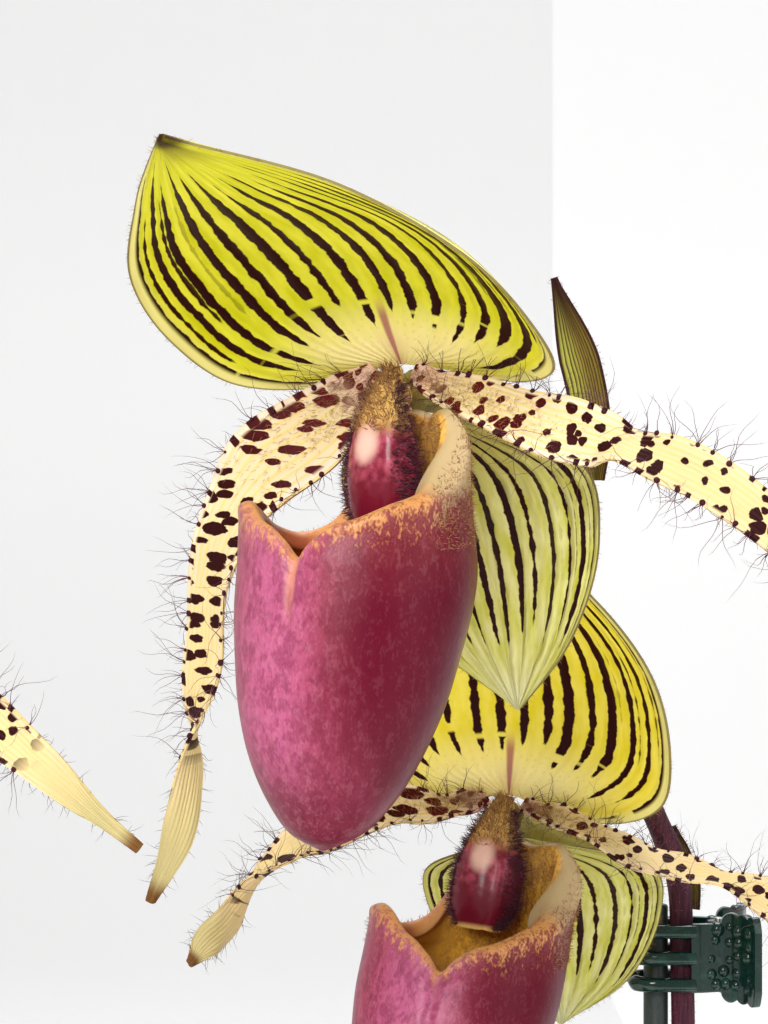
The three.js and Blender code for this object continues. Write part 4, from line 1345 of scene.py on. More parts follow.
@dataclass
class Petal:
    """A long twisted petal: right, up, forward, half width and twist in degrees, base to tip."""

    stations: Stations
    thickness: float = 0.75
    rows: int = 200
    columns: int = 26
    dash_pitch: float = 2.3
    hairs_to_wart: int = 6
    fringe: int = 90
    down: int = 640

    def __post_init__(self) -> None:
        """Works out the petal's middle line."""
        self.line = Curve(bloom_points(self.stations))
        self.halves = [station[3] for station in self.stations]
        self.twists = [station[4] for station in self.stations]

    def half_width(self, along: Points) -> Points:
        """Returns the half width at each share."""
        return np.maximum(profile(self.halves, along), 0.5)

    def surface(self) -> Surface:
        """Returns the petal's middle surface."""
        forward = np.array([[0.0, -1.0, 0.0]])

        def shape(along: Points, across: Points) -> Points:
            """Places each corner across the twisted middle line."""
            along = np.clip(along, 0, 1)
            tangent = self.line.tangent(along)
            sideways = turned(unit(np.cross(forward, tangent)), tangent, profile(self.twists, along))
            lift = unit(np.cross(tangent, sideways))
            half = self.half_width(along)
            ripple = 0.35 * np.sin(34 * along + 2 * across) * np.abs(across)
            rise = 0.12 * half * across**2 + ripple
            return self.line.at(along) + sideways * (half * across)[:, None] + lift * rise[:, None]

        return Surface(shape)

    def build(self, name: str, pose: BloomPose) -> Piece:
        """Makes the petal's mesh in place, with its true distances stored."""
        piece = shaped_grid(name, self.rows, self.columns, self.surface().shape)
        _, across, along = read_layout(piece)
        add_span(piece, self.distance(along) / 10, self.half_width(along) * across / 10)
        add_place(piece, corners(piece) / MM)
        thicken(piece, self.thickness, 0.45)
        piece.data.transform(pose.matrix)
        smooth(piece)
        return piece

    def distance(self, along: Points) -> Points:
        """Returns the true distance from the base in millimetres."""
        return np.interp(along, self.line.shares, self.line.lengths)

    def dashes(self, last: float) -> Points:
        """Returns the shares along where the margin's dark dashes sit.

        Args:
            last: the share where they end.

        Returns:
            The shares, which match the finish's own dashes.
        """
        fine = np.linspace(0.02, last, 2000)
        reach = self.distance(fine)
        beat = (reach / 10 + 0.045 * np.sin(0.9 * reach)) * 10 / self.dash_pitch
        crossings = np.flatnonzero(np.diff(np.floor(beat - 0.5)) > 0)
        return fine[crossings]

    def hairs(self, coat: HairCoat, tan: HairCoat, warts: list[Matrix], pose: BloomPose) -> None:
        """Grows the long margin hairs from warts, the short tip hairs and the downy base.

        Args:
            coat: takes the dark hairs.
            tan: takes the tan down.
            warts: takes the place of each wart.
            pose: the bloom's pose.
        """
        surface, random = self.surface(), coat.random
        for side in (-1.0, 1.0):
            along = self.dashes(0.78)
            along = along[random.uniform(size=len(along)) < 0.9]
            inset = random.uniform(0.86, 0.98, len(along))
            place, _, sideways, out = surface.frame(along, side * inset)
            face = faced_forward(out)
            for spot, up in zip(place + 0.25 * face, face):
                turn = Vector(up).to_track_quat("Z", "Y").to_matrix().to_4x4()
                size = random.uniform(0.2, 0.42)
                scale = Matrix.Diagonal((size, size, 0.6 * size, 1))
                warts.append(pose.matrix @ (Matrix.Translation(Vector(spot) * MM) @ turn @ scale))
            for _ in range(self.hairs_to_wart):
                keep = random.uniform(size=len(along)) < 0.8
                aim = sideways * side + 0.55 * face + 0.5 * random.normal(size=place.shape)
                coat.grow(place[keep], aim[keep], LONG_HAIR)
            fringe = random.uniform(0.1, 0.98, self.fringe)
            place, lengthwise, sideways, _ = surface.frame(fringe, np.full(self.fringe, side * 0.99))
            aim = sideways * side + 0.5 * lengthwise + 0.4 * random.normal(size=place.shape)
            coat.grow(place, aim, SHORT_HAIR)
        along = random.beta(1.5, 2.6, self.down) * 0.4
        across = random.uniform(-0.8, 0.5, self.down)
        place, lengthwise, _, out = surface.frame(along, across)
        face = faced_forward(out)
        aim = face + 0.9 * lengthwise + 0.5 * random.normal(size=place.shape)
        tan.grow(place + 0.2 * face, aim, DOWN)


LONG_HAIR = HairStyle(2.6, 7.0, 0.055, 7, 0.8, 0.11)
SHORT_HAIR = HairStyle(0.8, 2.4, 0.035, 3, 0.5)
DOWN = HairStyle(0.7, 1.6, 0.034, 3, 0.6, 0.1)
CILIA = HairStyle(0.5, 1.1, 0.028, 2, 0.3)
BRISTLE = HairStyle(0.8, 1.7, 0.055, 3, 0.45)
FELT = HairStyle(0.35, 0.9, 0.04, 2, 0.4)


@dataclass
class Lip:
    """The pouch: its rim once round the mouth from the notch, and its sections down to the toe."""

    rim: Sequence[Triple] = (
        (0, -22.6, 22), (5.6, -20.4, 20.8), (10.4, -18.2, 17.6), (13.6, -16.8, 13.2),
        (14.9, -13.8, 9.2), (14.6, -9.6, 6.6), (11.5, -6.4, 5.2), (5.6, -6.8, -1.6),
        (0, -6.1, -3.2), (-5.6, -12.6, -2.8), (-9.6, -19.6, -0.6), (-12.8, -21.4, 2.8),
        (-14.4, -20.6, 7.6), (-14.2, -18.2, 12.6), (-11.2, -17.6, 17.4), (-5.8, -20.6, 20.9),
    )
    sections: Stations = (
        (-25, 8.6, 14.9, 14.2), (-30, 9.4, 14.8, 14.0), (-36, 10.7, 13.9, 13.2), (-42, 12.0, 12.7, 12.0),
        (-48, 13.3, 10.6, 10.0), (-53, 14.2, 7.9, 7.4), (-56.8, 15.2, 4.6, 4.2),
    )
    rim_roll: Sequence[float] = (
        1.0, 1.2, 1.9, 3.4, 5.2, 3.0, 0.7, 0.9, 1.0, 1.1, 1.5, 2.0, 2.4, 2.2, 1.6, 1.2,
    )
    rim_steps: Sequence[float] = (0.3, 0.62)
    toe: Triple = (0, -59, 16)
    mouth: Triple = (0, -17, 8.4)
    wall: float = 1.15
    sag: float = 0.0
    back: float = 6
    depth: float = 28
    rows: int = 150
    columns: int = 240
    felt_hairs: tuple[int, int, int] = (1200, 300, 900)

    def rings(self, around: Points) -> Points:
        """Works out the key rings, from the inside of the toe over the rim to the outside.

        Args:
            around: the shares round the mouth.

        Returns:
            One ring of points for each key height.
        """
        rim = Curve(bloom_points(self.rim), closed=True).at(around)
        roll = profile([*self.rim_roll, self.rim_roll[0]], around)[:, None]
        inward = unit((in_bloom(*self.mouth) - rim) * np.array([1, 1, 0]))
        inner = rim + inward * (roll + self.wall)
        inner[:, 2] = rim[:, 2] - 0.8 - 0.3 * roll[:, 0]
        crest = rim + inward * 0.5 * (roll + self.wall)
        crest[:, 2] = rim[:, 2] + 0.25 * roll[:, 0]
        angle = 2 * math.pi * around

        def section(row: Sequence[float], shrink: float, lift: float) -> Points:
            """Returns one level ring of the pouch."""
            up, forward, width, depth = row
            return in_bloom((width - shrink) * np.sin(angle), np.full_like(angle, up + lift),
                            forward + (depth - shrink) * np.cos(angle))

        outer = [section(row, 0, 0) for row in self.sections]
        inside = [section(row, self.wall, self.wall * 0.4) for row in self.sections]
        toe = np.repeat(in_bloom(*self.toe)[None], len(around), axis=0)
        floor = toe + np.array([0, 0, 1.5 * self.wall])
        lower = [inner + (section(self.sections[0], self.wall, 0) - inner) * step for step in self.rim_steps]
        upper = [rim + (outer[0] - rim) * step for step in self.rim_steps]
        return np.stack([floor, *inside[::-1], *lower[::-1], inner, crest, rim, *upper, *outer, toe])

    def shape(self, along: Points, across: Points) -> Points:
        """Places each corner, along from the inside of the toe to its outside."""
        around = across / 2 + 0.5
        columns, which = np.unique(np.round(around, 6), return_inverse=True)
        rows, level = np.unique(np.round(along, 6), return_inverse=True)
        rings = self.rings(columns)
        dense = Curve(rings.reshape(len(rings), -1)).at(rows).reshape(len(rows), len(columns), 3)
        front = np.minimum(columns, 1 - columns)[None]
        high = eased(dense[..., 2], -30.0, -23.5)
        notch = 0.6 * np.exp(-((front - 0.05) / 0.025) ** 2) - 1.5 * np.exp(-(front / 0.014) ** 2)
        dense[..., 1] += 0.45 * eased(dense[..., 2], -42.0, -26.0) * np.exp(-(front / 0.008) ** 2)
        dense[..., 2] += high * notch
        dense[..., 2] -= self.sag * ((self.back - dense[..., 1]) / self.depth) ** 2
        return dense[level, which]

    def build(self, name: str, pose: BloomPose) -> Piece:
        """Makes the pouch in place."""
        piece = shaped_grid(name, self.rows, self.columns, self.shape)
        close_seams(piece, 2e-5)
        add_place(piece, corners(piece) / MM)
        piece.data.transform(pose.matrix)
        smooth(piece, 75)
        return piece

    def felt(self, coat: HairCoat) -> None:
        """Grows the down on the side lobes, outside and near the rim."""
        random = coat.random
        near, far, rim = self.felt_hairs
        around = np.concatenate([random.uniform(0.2, 0.46, near), random.uniform(0.6, 0.8, far),
                                 random.uniform(0.34, 0.52, rim)])
        along = np.concatenate([random.uniform(0.52, 0.66, near + far), random.uniform(0.3, 0.47, rim)])
        place, _, _, out = Surface(self.shape).frame(along, 2 * around - 1)
        centre = in_bloom(0.0, -20.0, 6.0)
        facing = np.where(along < 0.48, -1.0, 1.0)[:, None]
        away = facing * out * np.sign(np.sum(out * (place - centre), axis=1, keepdims=True))
        coat.grow(place, away + 0.6 * random.normal(size=place.shape), FELT)


@dataclass
class Column:
    """The shield in front of the mouth.

    Each station gives right, up, forward, half width and how far the sides turn back.
    """

    stations: Stations = (
        (0, -0.5, 0.4, 1.2, 0.2), (0, -4.2, 2.6, 2.4, 0.7), (0, -8.2, 4.4, 3.9, 1.8),
        (0, -12.5, 5.4, 5.0, 2.8), (0, -17.0, 5.2, 4.9, 2.6), (0, -20.6, 4.2, 3.0, 1.0),
    )
    stalk: Sequence[Triple] = ((0, -3.4, -1.4), (0, -4.2, 0.6), (0, -6.2, 2.4))
    thickness: float = 1.5
    fringe: int = 1700
    top_hairs: int = 800

    def surface(self) -> Surface:
        """Returns the shield's middle surface."""
        line = Curve(bloom_points(self.stations))
        halves, backs = ([station[k] for station in self.stations] for k in (3, 4))

        def shape(along: Points, across: Points) -> Points:
            """Places each corner across the bulging shield."""
            half = profile(halves, along)
            fold = 0.45 * np.exp(-((across - 0.5) / 0.16) ** 2) * eased(along, 0.2, 0.5)
            dome = fold - profile(backs, along) * across**2
            return line.at(along) + in_bloom(half * across, np.zeros_like(half), dome)

        return Surface(shape)

    def build(self, name: str, pose: BloomPose) -> Piece:
        """Makes the shield, its stalk and its two anthers one piece, in place."""
        shield = shaped_grid("shield", 40, 28, self.surface().shape)
        thicken(shield, self.thickness, 0.7)
        stalk = tube("stalk", Curve(bloom_points(self.stalk)), 12, 20,
                     lambda along, _: 1.9 - 0.4 * along)
        anthers = []
        for side in (-1, 1):
            deselect()
            bpy.ops.mesh.primitive_uv_sphere_add(segments=18, ring_count=12, radius=1.4 * MM,
                                                 location=(side * 1.9 * MM, -1.6 * MM, -6.0 * MM))
            bpy.ops.object.transform_apply(location=True, rotation=True, scale=True)
            anthers.append(named("anther"))
        piece = joined(name, [shield, stalk, *anthers])
        add_place(piece, corners(piece) / MM)
        piece.data.transform(pose.matrix)
        smooth(piece)
        return piece

    def bristles(self, dark: HairCoat, tan: HairCoat) -> None:
        """Grows the dark fringe of the margins and the tan hairs of the top."""
        random, surface = dark.random, self.surface()
        along = random.uniform(0.12, 0.98, self.fringe)
        side = random.choice([-1.0, 1.0, 1.0], len(along))
        reach = np.where(side > 0, random.uniform(0.5, 1.0, len(along)),
                         random.uniform(0.85, 1.0, len(along)))
        place, _, sideways, out = surface.frame(along, side * reach)
        face = faced_forward(out)
        aim = sideways * side[:, None] + 0.8 * face + 0.5 * random.normal(size=place.shape)
        dark.grow(place + 0.5 * face, aim, BRISTLE)
        along = random.uniform(0.0, 0.42, self.top_hairs)
        place, lengthwise, _, out = surface.frame(along, random.uniform(-0.9, 0.9, len(along)))
        face = faced_forward(out)
        aim = face + 0.6 * random.normal(size=place.shape) - 0.4 * lengthwise
        tan.grow(place + 0.6 * face, aim, BRISTLE)


DORSAL = Sepal(
    midvein=((0, 0.4, -1.8), (0, 3.8, 0.8), (0, 8.6, 4.2), (0, 13.2, 10), (0, 16.6, 18.6), (0, 18.9, 31.2),
             (0, 22.2, 47.2)),
    margin=((3.2, -0.1, -2.6), (16, -2.4, -3.2), (24.2, -1.6, 2.6), (26.1, 3.4, 12.4), (23.8, 10.2, 22.6),
            (14.8, 17.4, 33.4), (0.5, 22.3, 47.0)),
)
SYNSEPAL = Sepal(
    midvein=((0, -6.1, -5.2), (0, -14, -12), (0, -24, -18.5), (0, -35, -24.5), (0, -45, -31)),
    margin=((2.6, -6.1, -5.2), (18.2, -12.5, -10.5), (18.2, -21.5, -14.5), (12.0, -34.5, -22),
            (0.5, -45, -30.9)),
    lean=3.0, flute=0.28,
)
PETALS = {
    "drooping_left": Petal((
        (-3.1, -0.5, -0.4, 1.4, 0), (-6.0, -3.9, 0.1, 4.0, 0), (-10.4, -8.0, 2, 5.7, 0),
        (-16.8, -12.6, 4.4, 5.9, 0), (-22.5, -19.2, 4.4, 4.4, 0), (-26.6, -27, 3, 3.3, 0),
        (-29, -36.8, 1, 3.2, 0), (-31.2, -45, 0, 3.0, 30), (-32.2, -53, 0, 2.8, 95),
        (-34.5, -62, 0, 2.1, 140), (-39, -70.6, 0, 0.6, 160),
    )),
    "spreading_right": Petal((
        (2.8, -0.8, -0.2, 1.0, -20), (6.4, -2.6, 0.8, 2.3, -40), (13.9, -5.1, 2, 3.6, -50),
        (22, -7.9, 2, 4.2, -32), (29.6, -9.7, 2, 3.6, -10), (34, -11.2, 2, 2.9, -50),
        (41.7, -13.6, 1.4, 3.1, -10), (51.5, -20.4, 0, 2.7, -20), (60, -29, -2, 2.5, -50),
        (67, -40, -3, 1.9, -110), (71, -52, -4, 0.6, -140),
    )),
    "sweeping_left": Petal((
        (-2.8, -0.8, -0.2, 1.0, 10), (-5.4, -2.0, 0.8, 2.2, 30), (-9.2, -3.6, 1.6, 3.2, 40),
        (-14.6, -4.3, 4, 3.6, 30), (-20, -7.2, 9, 3.8, 10), (-25, -12, 14, 3.5, 0),
        (-27.5, -16.9, 20, 2.9, 30), (-28.6, -21.8, 25.6, 2.6, 80), (-29.2, -26.6, 30, 2.8, 110),
        (-29.8, -30.1, 35, 2.2, 130), (-30, -33.5, 40, 0.6, 140),
    )),
    "level_right": Petal((
        (2.8, -0.8, -0.2, 1.0, -20), (5.6, -1.8, 0.8, 2.0, -45), (9.2, -2.4, 1.5, 2.8, -50),
        (15.8, -4.5, 2, 3.4, -56), (22, -6.6, 2, 3.6, -54), (27.5, -7.2, 2, 3.2, -44),
        (33.4, -7.6, 1.4, 2.6, -60), (41, -9.4, 0, 2.9, -20), (50, -15, -2, 2.7, -30),
        (58, -25, -4, 2.1, -90), (62, -37, -5, 0.6, -130),
    )),
    "reaching_right": Petal((
        (2.8, -0.8, -0.2, 1.0, -20), (6.4, -2.4, 0.8, 2.2, -36), (14, -4.5, 2, 3.3, -40),
        (25, -8.5, 2, 4.2, -20), (37, -12.5, 2, 3.6, -30), (44, -17, 2, 3.0, -60), (52, -23, 2, 3.4, -10),
        (60, -29.2, 2, 3.3, 0), (66, -34, 1.6, 2.5, 0), (72, -39, 0.8, 1.5, 10), (78, -43.6, 0, 0.6, 20),
    )),
}


@dataclass
class Bloom:
    """One open bloom and all that grows on it."""

    pose: BloomPose
    left: str
    right: str
    order: int
    dorsal_turn: tuple[float, float] = (0, 0)
    synsepal_turn: tuple[float, float] = (0, 0)
    sag: float = 0

    def build(self, palette: Palette) -> None:
        """Makes every piece of the bloom."""
        name, pose = self.pose.name, self.pose
        dorsal = replace(DORSAL, lift=self.dorsal_turn[0], sway=self.dorsal_turn[1])
        synsepal = replace(SYNSEPAL, lift=self.synsepal_turn[0], sway=self.synsepal_turn[1])
        fit_out(dorsal.build(f"{name}_dorsal", pose), palette.dorsal[self.order], Slot.SEPAL,
                f"{name}_dorsal_sepal")
        fit_out(synsepal.build(f"{name}_lower_sepal", pose), palette.synsepal, Slot.SEPAL,
                f"{name}_synsepal")
        dark, tan = HairCoat(seed=10 + self.order), HairCoat(seed=20 + self.order)
        dorsal.cilia(tan, 220, CILIA)
        dorsal.tuft(dark, 160, CILIA)
        synsepal.cilia(tan, 260, CILIA)
        warts: list[Matrix] = []
        for side, key in (("left", self.left), ("right", self.right)):
            petal = PETALS[key]
            fit_out(petal.build(f"{name}_{side}", pose), palette.petal, Slot.PETAL, f"{name}_{side}_petal")
            petal.hairs(dark, tan, warts, pose)
        lip = Lip(sag=self.sag)
        fit_out(lip.build(f"{name}_pouch", pose), palette.lip, Slot.LIP, f"{name}_lip")
        lip.felt(tan)
        fit_out(Column().build(f"{name}_shield", pose), palette.column, Slot.COLUMN, f"{name}_column")
        Column().bristles(dark, tan)
        dark.finish(f"{name}_dark_hairs", pose.matrix, palette.maroon_hair, Slot.PETAL)
        tan.finish(f"{name}_tan_hairs", pose.matrix, palette.tan_hair, Slot.COLUMN)
        fit_out(scattered(f"{name}_warts", ball("wart", 2, 1), warts), palette.wart, Slot.PETAL)


BLOOMS = (
    Bloom(BloomPose("bloom_1", (-3.6, -60, 418.4), 33, 0, 0), "drooping_left", "spreading_right", 0),
    Bloom(BloomPose("bloom_2", (13.6, 4, 357), 18, 6, 15), "sweeping_left", "level_right", 1,
          dorsal_turn=(-16, -3), synsepal_turn=(24, -10), sag=5),
    Bloom(BloomPose("bloom_3", (-110, -52, 403), 12, 0, 4), "drooping_left", "reaching_right", 2,
          dorsal_turn=(-3, 2), synsepal_turn=(6, 3), sag=1.5),
)


# Stems, bracts and leaves


@dataclass
class FloweringStem:
    """A flowering stem with the ovary behind each of its blooms."""

    name: str
    route: Sequence[Triple]
    ovaries: Sequence[tuple[int, Triple]]
    foot_radius: float = 2.3
    tip_radius: float = 1.75
    joints: Sequence[float] = (0.3, 0.56, 0.78)
    ovary_tip: Triple = (0, -2.9, -2.2)
    ovary_shoulder: Triple = (0, -3.3, -14)
    down: int = 3600
    down_from: float = 112

    def radius(self, along: Points, _: Points) -> Points:
        """Returns the stem's radius, a little swollen at each joint."""
        size = self.foot_radius + along * (self.tip_radius - self.foot_radius)
        swell = sum(0.25 * np.exp(-((along - joint) / 0.008) ** 2) for joint in self.joints)
        return size + swell

    def ovary(self, order: int, root: Triple) -> Piece:
        """Makes the ribbed ovary of one bloom."""
        pose = BLOOMS[order].pose
        tip, shoulder = pose.point(*self.ovary_tip), pose.point(*self.ovary_shoulder)
        bend = (shoulder + np.array(root)) / 2 + np.array([0, 0, -1.5])
        curve = Curve([root, bend, shoulder, tip])
        widths = (1.5, 1.5, 1.9, 2.5, 2.7, 2.6, 2.4)
        return tube("ovary", curve, 60, 36,
                    lambda along, angle: profile(widths, along) + 0.16 * np.cos(6 * angle))

    def build(self, palette: Palette) -> None:
        """Makes the stem, its ovaries and its down."""
        curve = Curve(self.route)
        stalk = tube("stalk", curve, 220, 24, self.radius)
        piece = joined(self.name + "_stalk", [stalk, *(self.ovary(*ovary) for ovary in self.ovaries)])
        smooth(piece)
        coat = HairCoat(seed=31)
        points, normals = self._skin(piece, coat)
        coat.grow(points, normals + 0.5 * coat.random.normal(size=points.shape), FELT)
        fit_out(piece, palette.stem, Slot.STEM, self.name)
        coat.finish(self.name + "_down", Matrix.Identity(4), palette.pale_hair, Slot.STEM)

    def _skin(self, piece: Piece, coat: HairCoat) -> tuple[Points, Points]:
        """Picks faces of the piece at random and returns their middles and normals in millimetres."""
        faces = piece.data.polygons
        middles, normals = np.empty(3 * len(faces)), np.empty(3 * len(faces))
        faces.foreach_get("center", middles)
        faces.foreach_get("normal", normals)
        middles, normals = middles.reshape(-1, 3) / MM, normals.reshape(-1, 3)
        above = np.flatnonzero(middles[:, 2] > self.down_from)
        chosen = coat.random.choice(above, self.down)
        return middles[chosen], normals[chosen]


STEMS = (
    FloweringStem("flowering_stem_a", (
        (18, 4, 88), (19.5, 5.5, 130), (28, 11, 200), (39.4, 20.4, 265), (43.2, 28.2, 300),
        (43.4, 30.2, 328), (42.6, 29.9, 341), (36.6, 27, 356), (26.4, 21.5, 385), (25.0, 18, 402),
        (26.4, 15, 413.6),
    ), ((0, (26.4, 15, 412.6)), (1, (42.4, 29.8, 342)))),
    FloweringStem("flowering_stem_b", (
        (-20, -3, 88), (-22, -2.5, 130), (-36, 0, 200), (-56, 5, 275), (-72, 9, 335), (-80, 10, 375),
        (-86, 10, 399),
    ), ((2, (-86, 10, 398)),)),
)


@dataclass
class Bract:
    """A folded bract that clasps the stem: x, y, z and half width from foot to tip."""

    name: str
    open: Triple
    stations: Stations
    down: int = 420

    def build(self, palette: Palette) -> None:
        """Makes the bract and its down."""
        line = Curve([station[:3] for station in self.stations])
        halves = [station[3] for station in self.stations]
        opening = unit(np.array([self.open], float))

        def shape(along: Points, across: Points) -> Points:
            """Places each corner of the boat."""
            along = np.clip(along, 0, 1)
            half = profile(halves, along)
            sideways = unit(np.cross(opening, line.tangent(along)))
            depth = 0.55 * half * across**2
            return line.at(along) + sideways * (0.75 * half * across)[:, None] + opening * depth[:, None]

        piece = shaped_grid(self.name + "_boat", 60, 24, shape)
        thicken(piece, 0.9, 0.4)
        smooth(piece)
        coat = HairCoat(seed=41)
        place, _, _, out = Surface(shape).frame(coat.random.uniform(0, 1, self.down),
                                                coat.random.uniform(-1, 1, self.down))
        away = -out * np.sign(np.sum(out * opening, axis=1, keepdims=True))
        coat.grow(place + 0.4 * away, away + 0.5 * coat.random.normal(size=place.shape), FELT)
        fit_out(piece, palette.bract, Slot.BRACT, self.name)
        coat.finish(self.name + "_down", Matrix.Identity(4), palette.pale_hair, Slot.BRACT)


BRACTS = (
    Bract("bract_1", (-0.35, -1, 0), (
        (28.5, 20.1, 405, 2.2), (28.5, 19.8, 413, 4.0), (26.6, 18.6, 423, 4.2), (21.6, 15.4, 436.6, 0.5),
    )),
    Bract("bract_2", (-0.25, -1, 0), (
        (45.4, 32.9, 335, 1.7), (45.3, 33.3, 339.5, 2.0), (44.0, 33.5, 344, 1.8), (42.3, 33.2, 348.5, 0.5),
    )),
    Bract("bract_3", (-0.35, -1, 0), (
        (-83.6, 13.6, 390, 2.2), (-82.6, 14.6, 399, 4.8), (-84, 14, 410, 4.6), (-90, 11, 424, 0.5),
    )),
)

LEAF_ARCHES = {
    "outer": ((9.0, 90), (9.6, 112), (22, 142), (56, 170), (104, 176), (152, 158), (192, 124)),
    "inner": ((4.2, 90), (4.8, 118), (12, 160), (36, 204), (76, 226), (120, 218), (158, 186)),
}


@dataclass
class StrapLeaf:
    """A strap leaf that leaves its fan at one bearing and turns to another by its tip."""

    name: str
    fan: tuple[float, float]
    bearings: tuple[float, float]
    arch: str
    reach: float
    droop: float
    half_width: float = 19
    thickness: float = 1.6
    widths: Sequence[float] = (0.42, 0.5, 0.78, 0.95, 1.0, 0.96, 0.84, 0.6, 0.16)

    def spine(self) -> Curve:
        """Works out the leaf's middle line."""
        arch = LEAF_ARCHES[self.arch]
        first, last = (math.radians(bearing) for bearing in self.bearings)
        points = []
        for step, (distance, height) in enumerate(arch):
            share = step / (len(arch) - 1)
            near = step < 2
            reach = distance if near else distance * self.reach
            bearing = first if near else first + (last - first) * share
            points.append((self.fan[0] + reach * math.cos(bearing), self.fan[1] + reach * math.sin(bearing),
                           height - self.droop * share * share))
        return Curve(points)

    def build(self, palette: Palette) -> None:
        """Makes the leaf."""
        spine, first, last = self.spine(), *(math.radians(bearing) for bearing in self.bearings)
        foot = np.array([[-math.sin(first), math.cos(first), 0.0]])

        def shape(along: Points, across: Points) -> Points:
            """Places each corner across the arched and keeled leaf."""
            half = self.half_width * profile(self.widths, along)
            share = spine.evenly(along)
            tangent = spine.tangent(share)
            flat = np.stack([-tangent[:, 1], tangent[:, 0], np.zeros_like(along)], axis=1)
            side = np.where(np.linalg.norm(flat, axis=1, keepdims=True) > 0.3, unit(flat), foot)
            lift = unit(np.cross(side, tangent))
            rounded = np.sqrt(across**2 + 0.004) - 0.063
            depth = np.where(along < 0.12, 0.3, 1)
            keel = (1 - 0.5 * along) * 3.4 * (half / self.half_width) * rounded * depth
            wave = 0.8 * np.sin(9 * along + last) * np.abs(across) * along
            return spine.at(share) + side * (half * across)[:, None] - lift * (keel + wave)[:, None]

        piece = shaped_grid(self.name + "_strap", 90, 28, shape)
        thicken(piece, self.thickness, 0.4)
        smooth(piece)
        fit_out(piece, palette.leaf, Slot.LEAF, self.name)


FAN_A, FAN_B = (18, 4), (-20, -3)
LEAVES = (
    StrapLeaf("leaf_a_back_outer", FAN_A, (90, 106), "outer", 1.0, 0),
    StrapLeaf("leaf_a_back_inner", FAN_A, (90, 98), "inner", 0.92, 6),
    StrapLeaf("leaf_a_front_outer", FAN_A, (-90, -36), "outer", 1.04, 10),
    StrapLeaf("leaf_a_front_inner", FAN_A, (-90, -50), "inner", 1.0, 0),
    StrapLeaf("leaf_b_back_outer", FAN_B, (80, 158), "outer", 0.96, 4),
    StrapLeaf("leaf_b_back_inner", FAN_B, (80, 142), "inner", 1.0, 12),
    StrapLeaf("leaf_b_front_outer", FAN_B, (-100, -142), "outer", 1.06, 0),
    StrapLeaf("leaf_b_front_inner", FAN_B, (-100, -138), "inner", 0.92, 4),
)


# Pot, potting mix, stake and clip


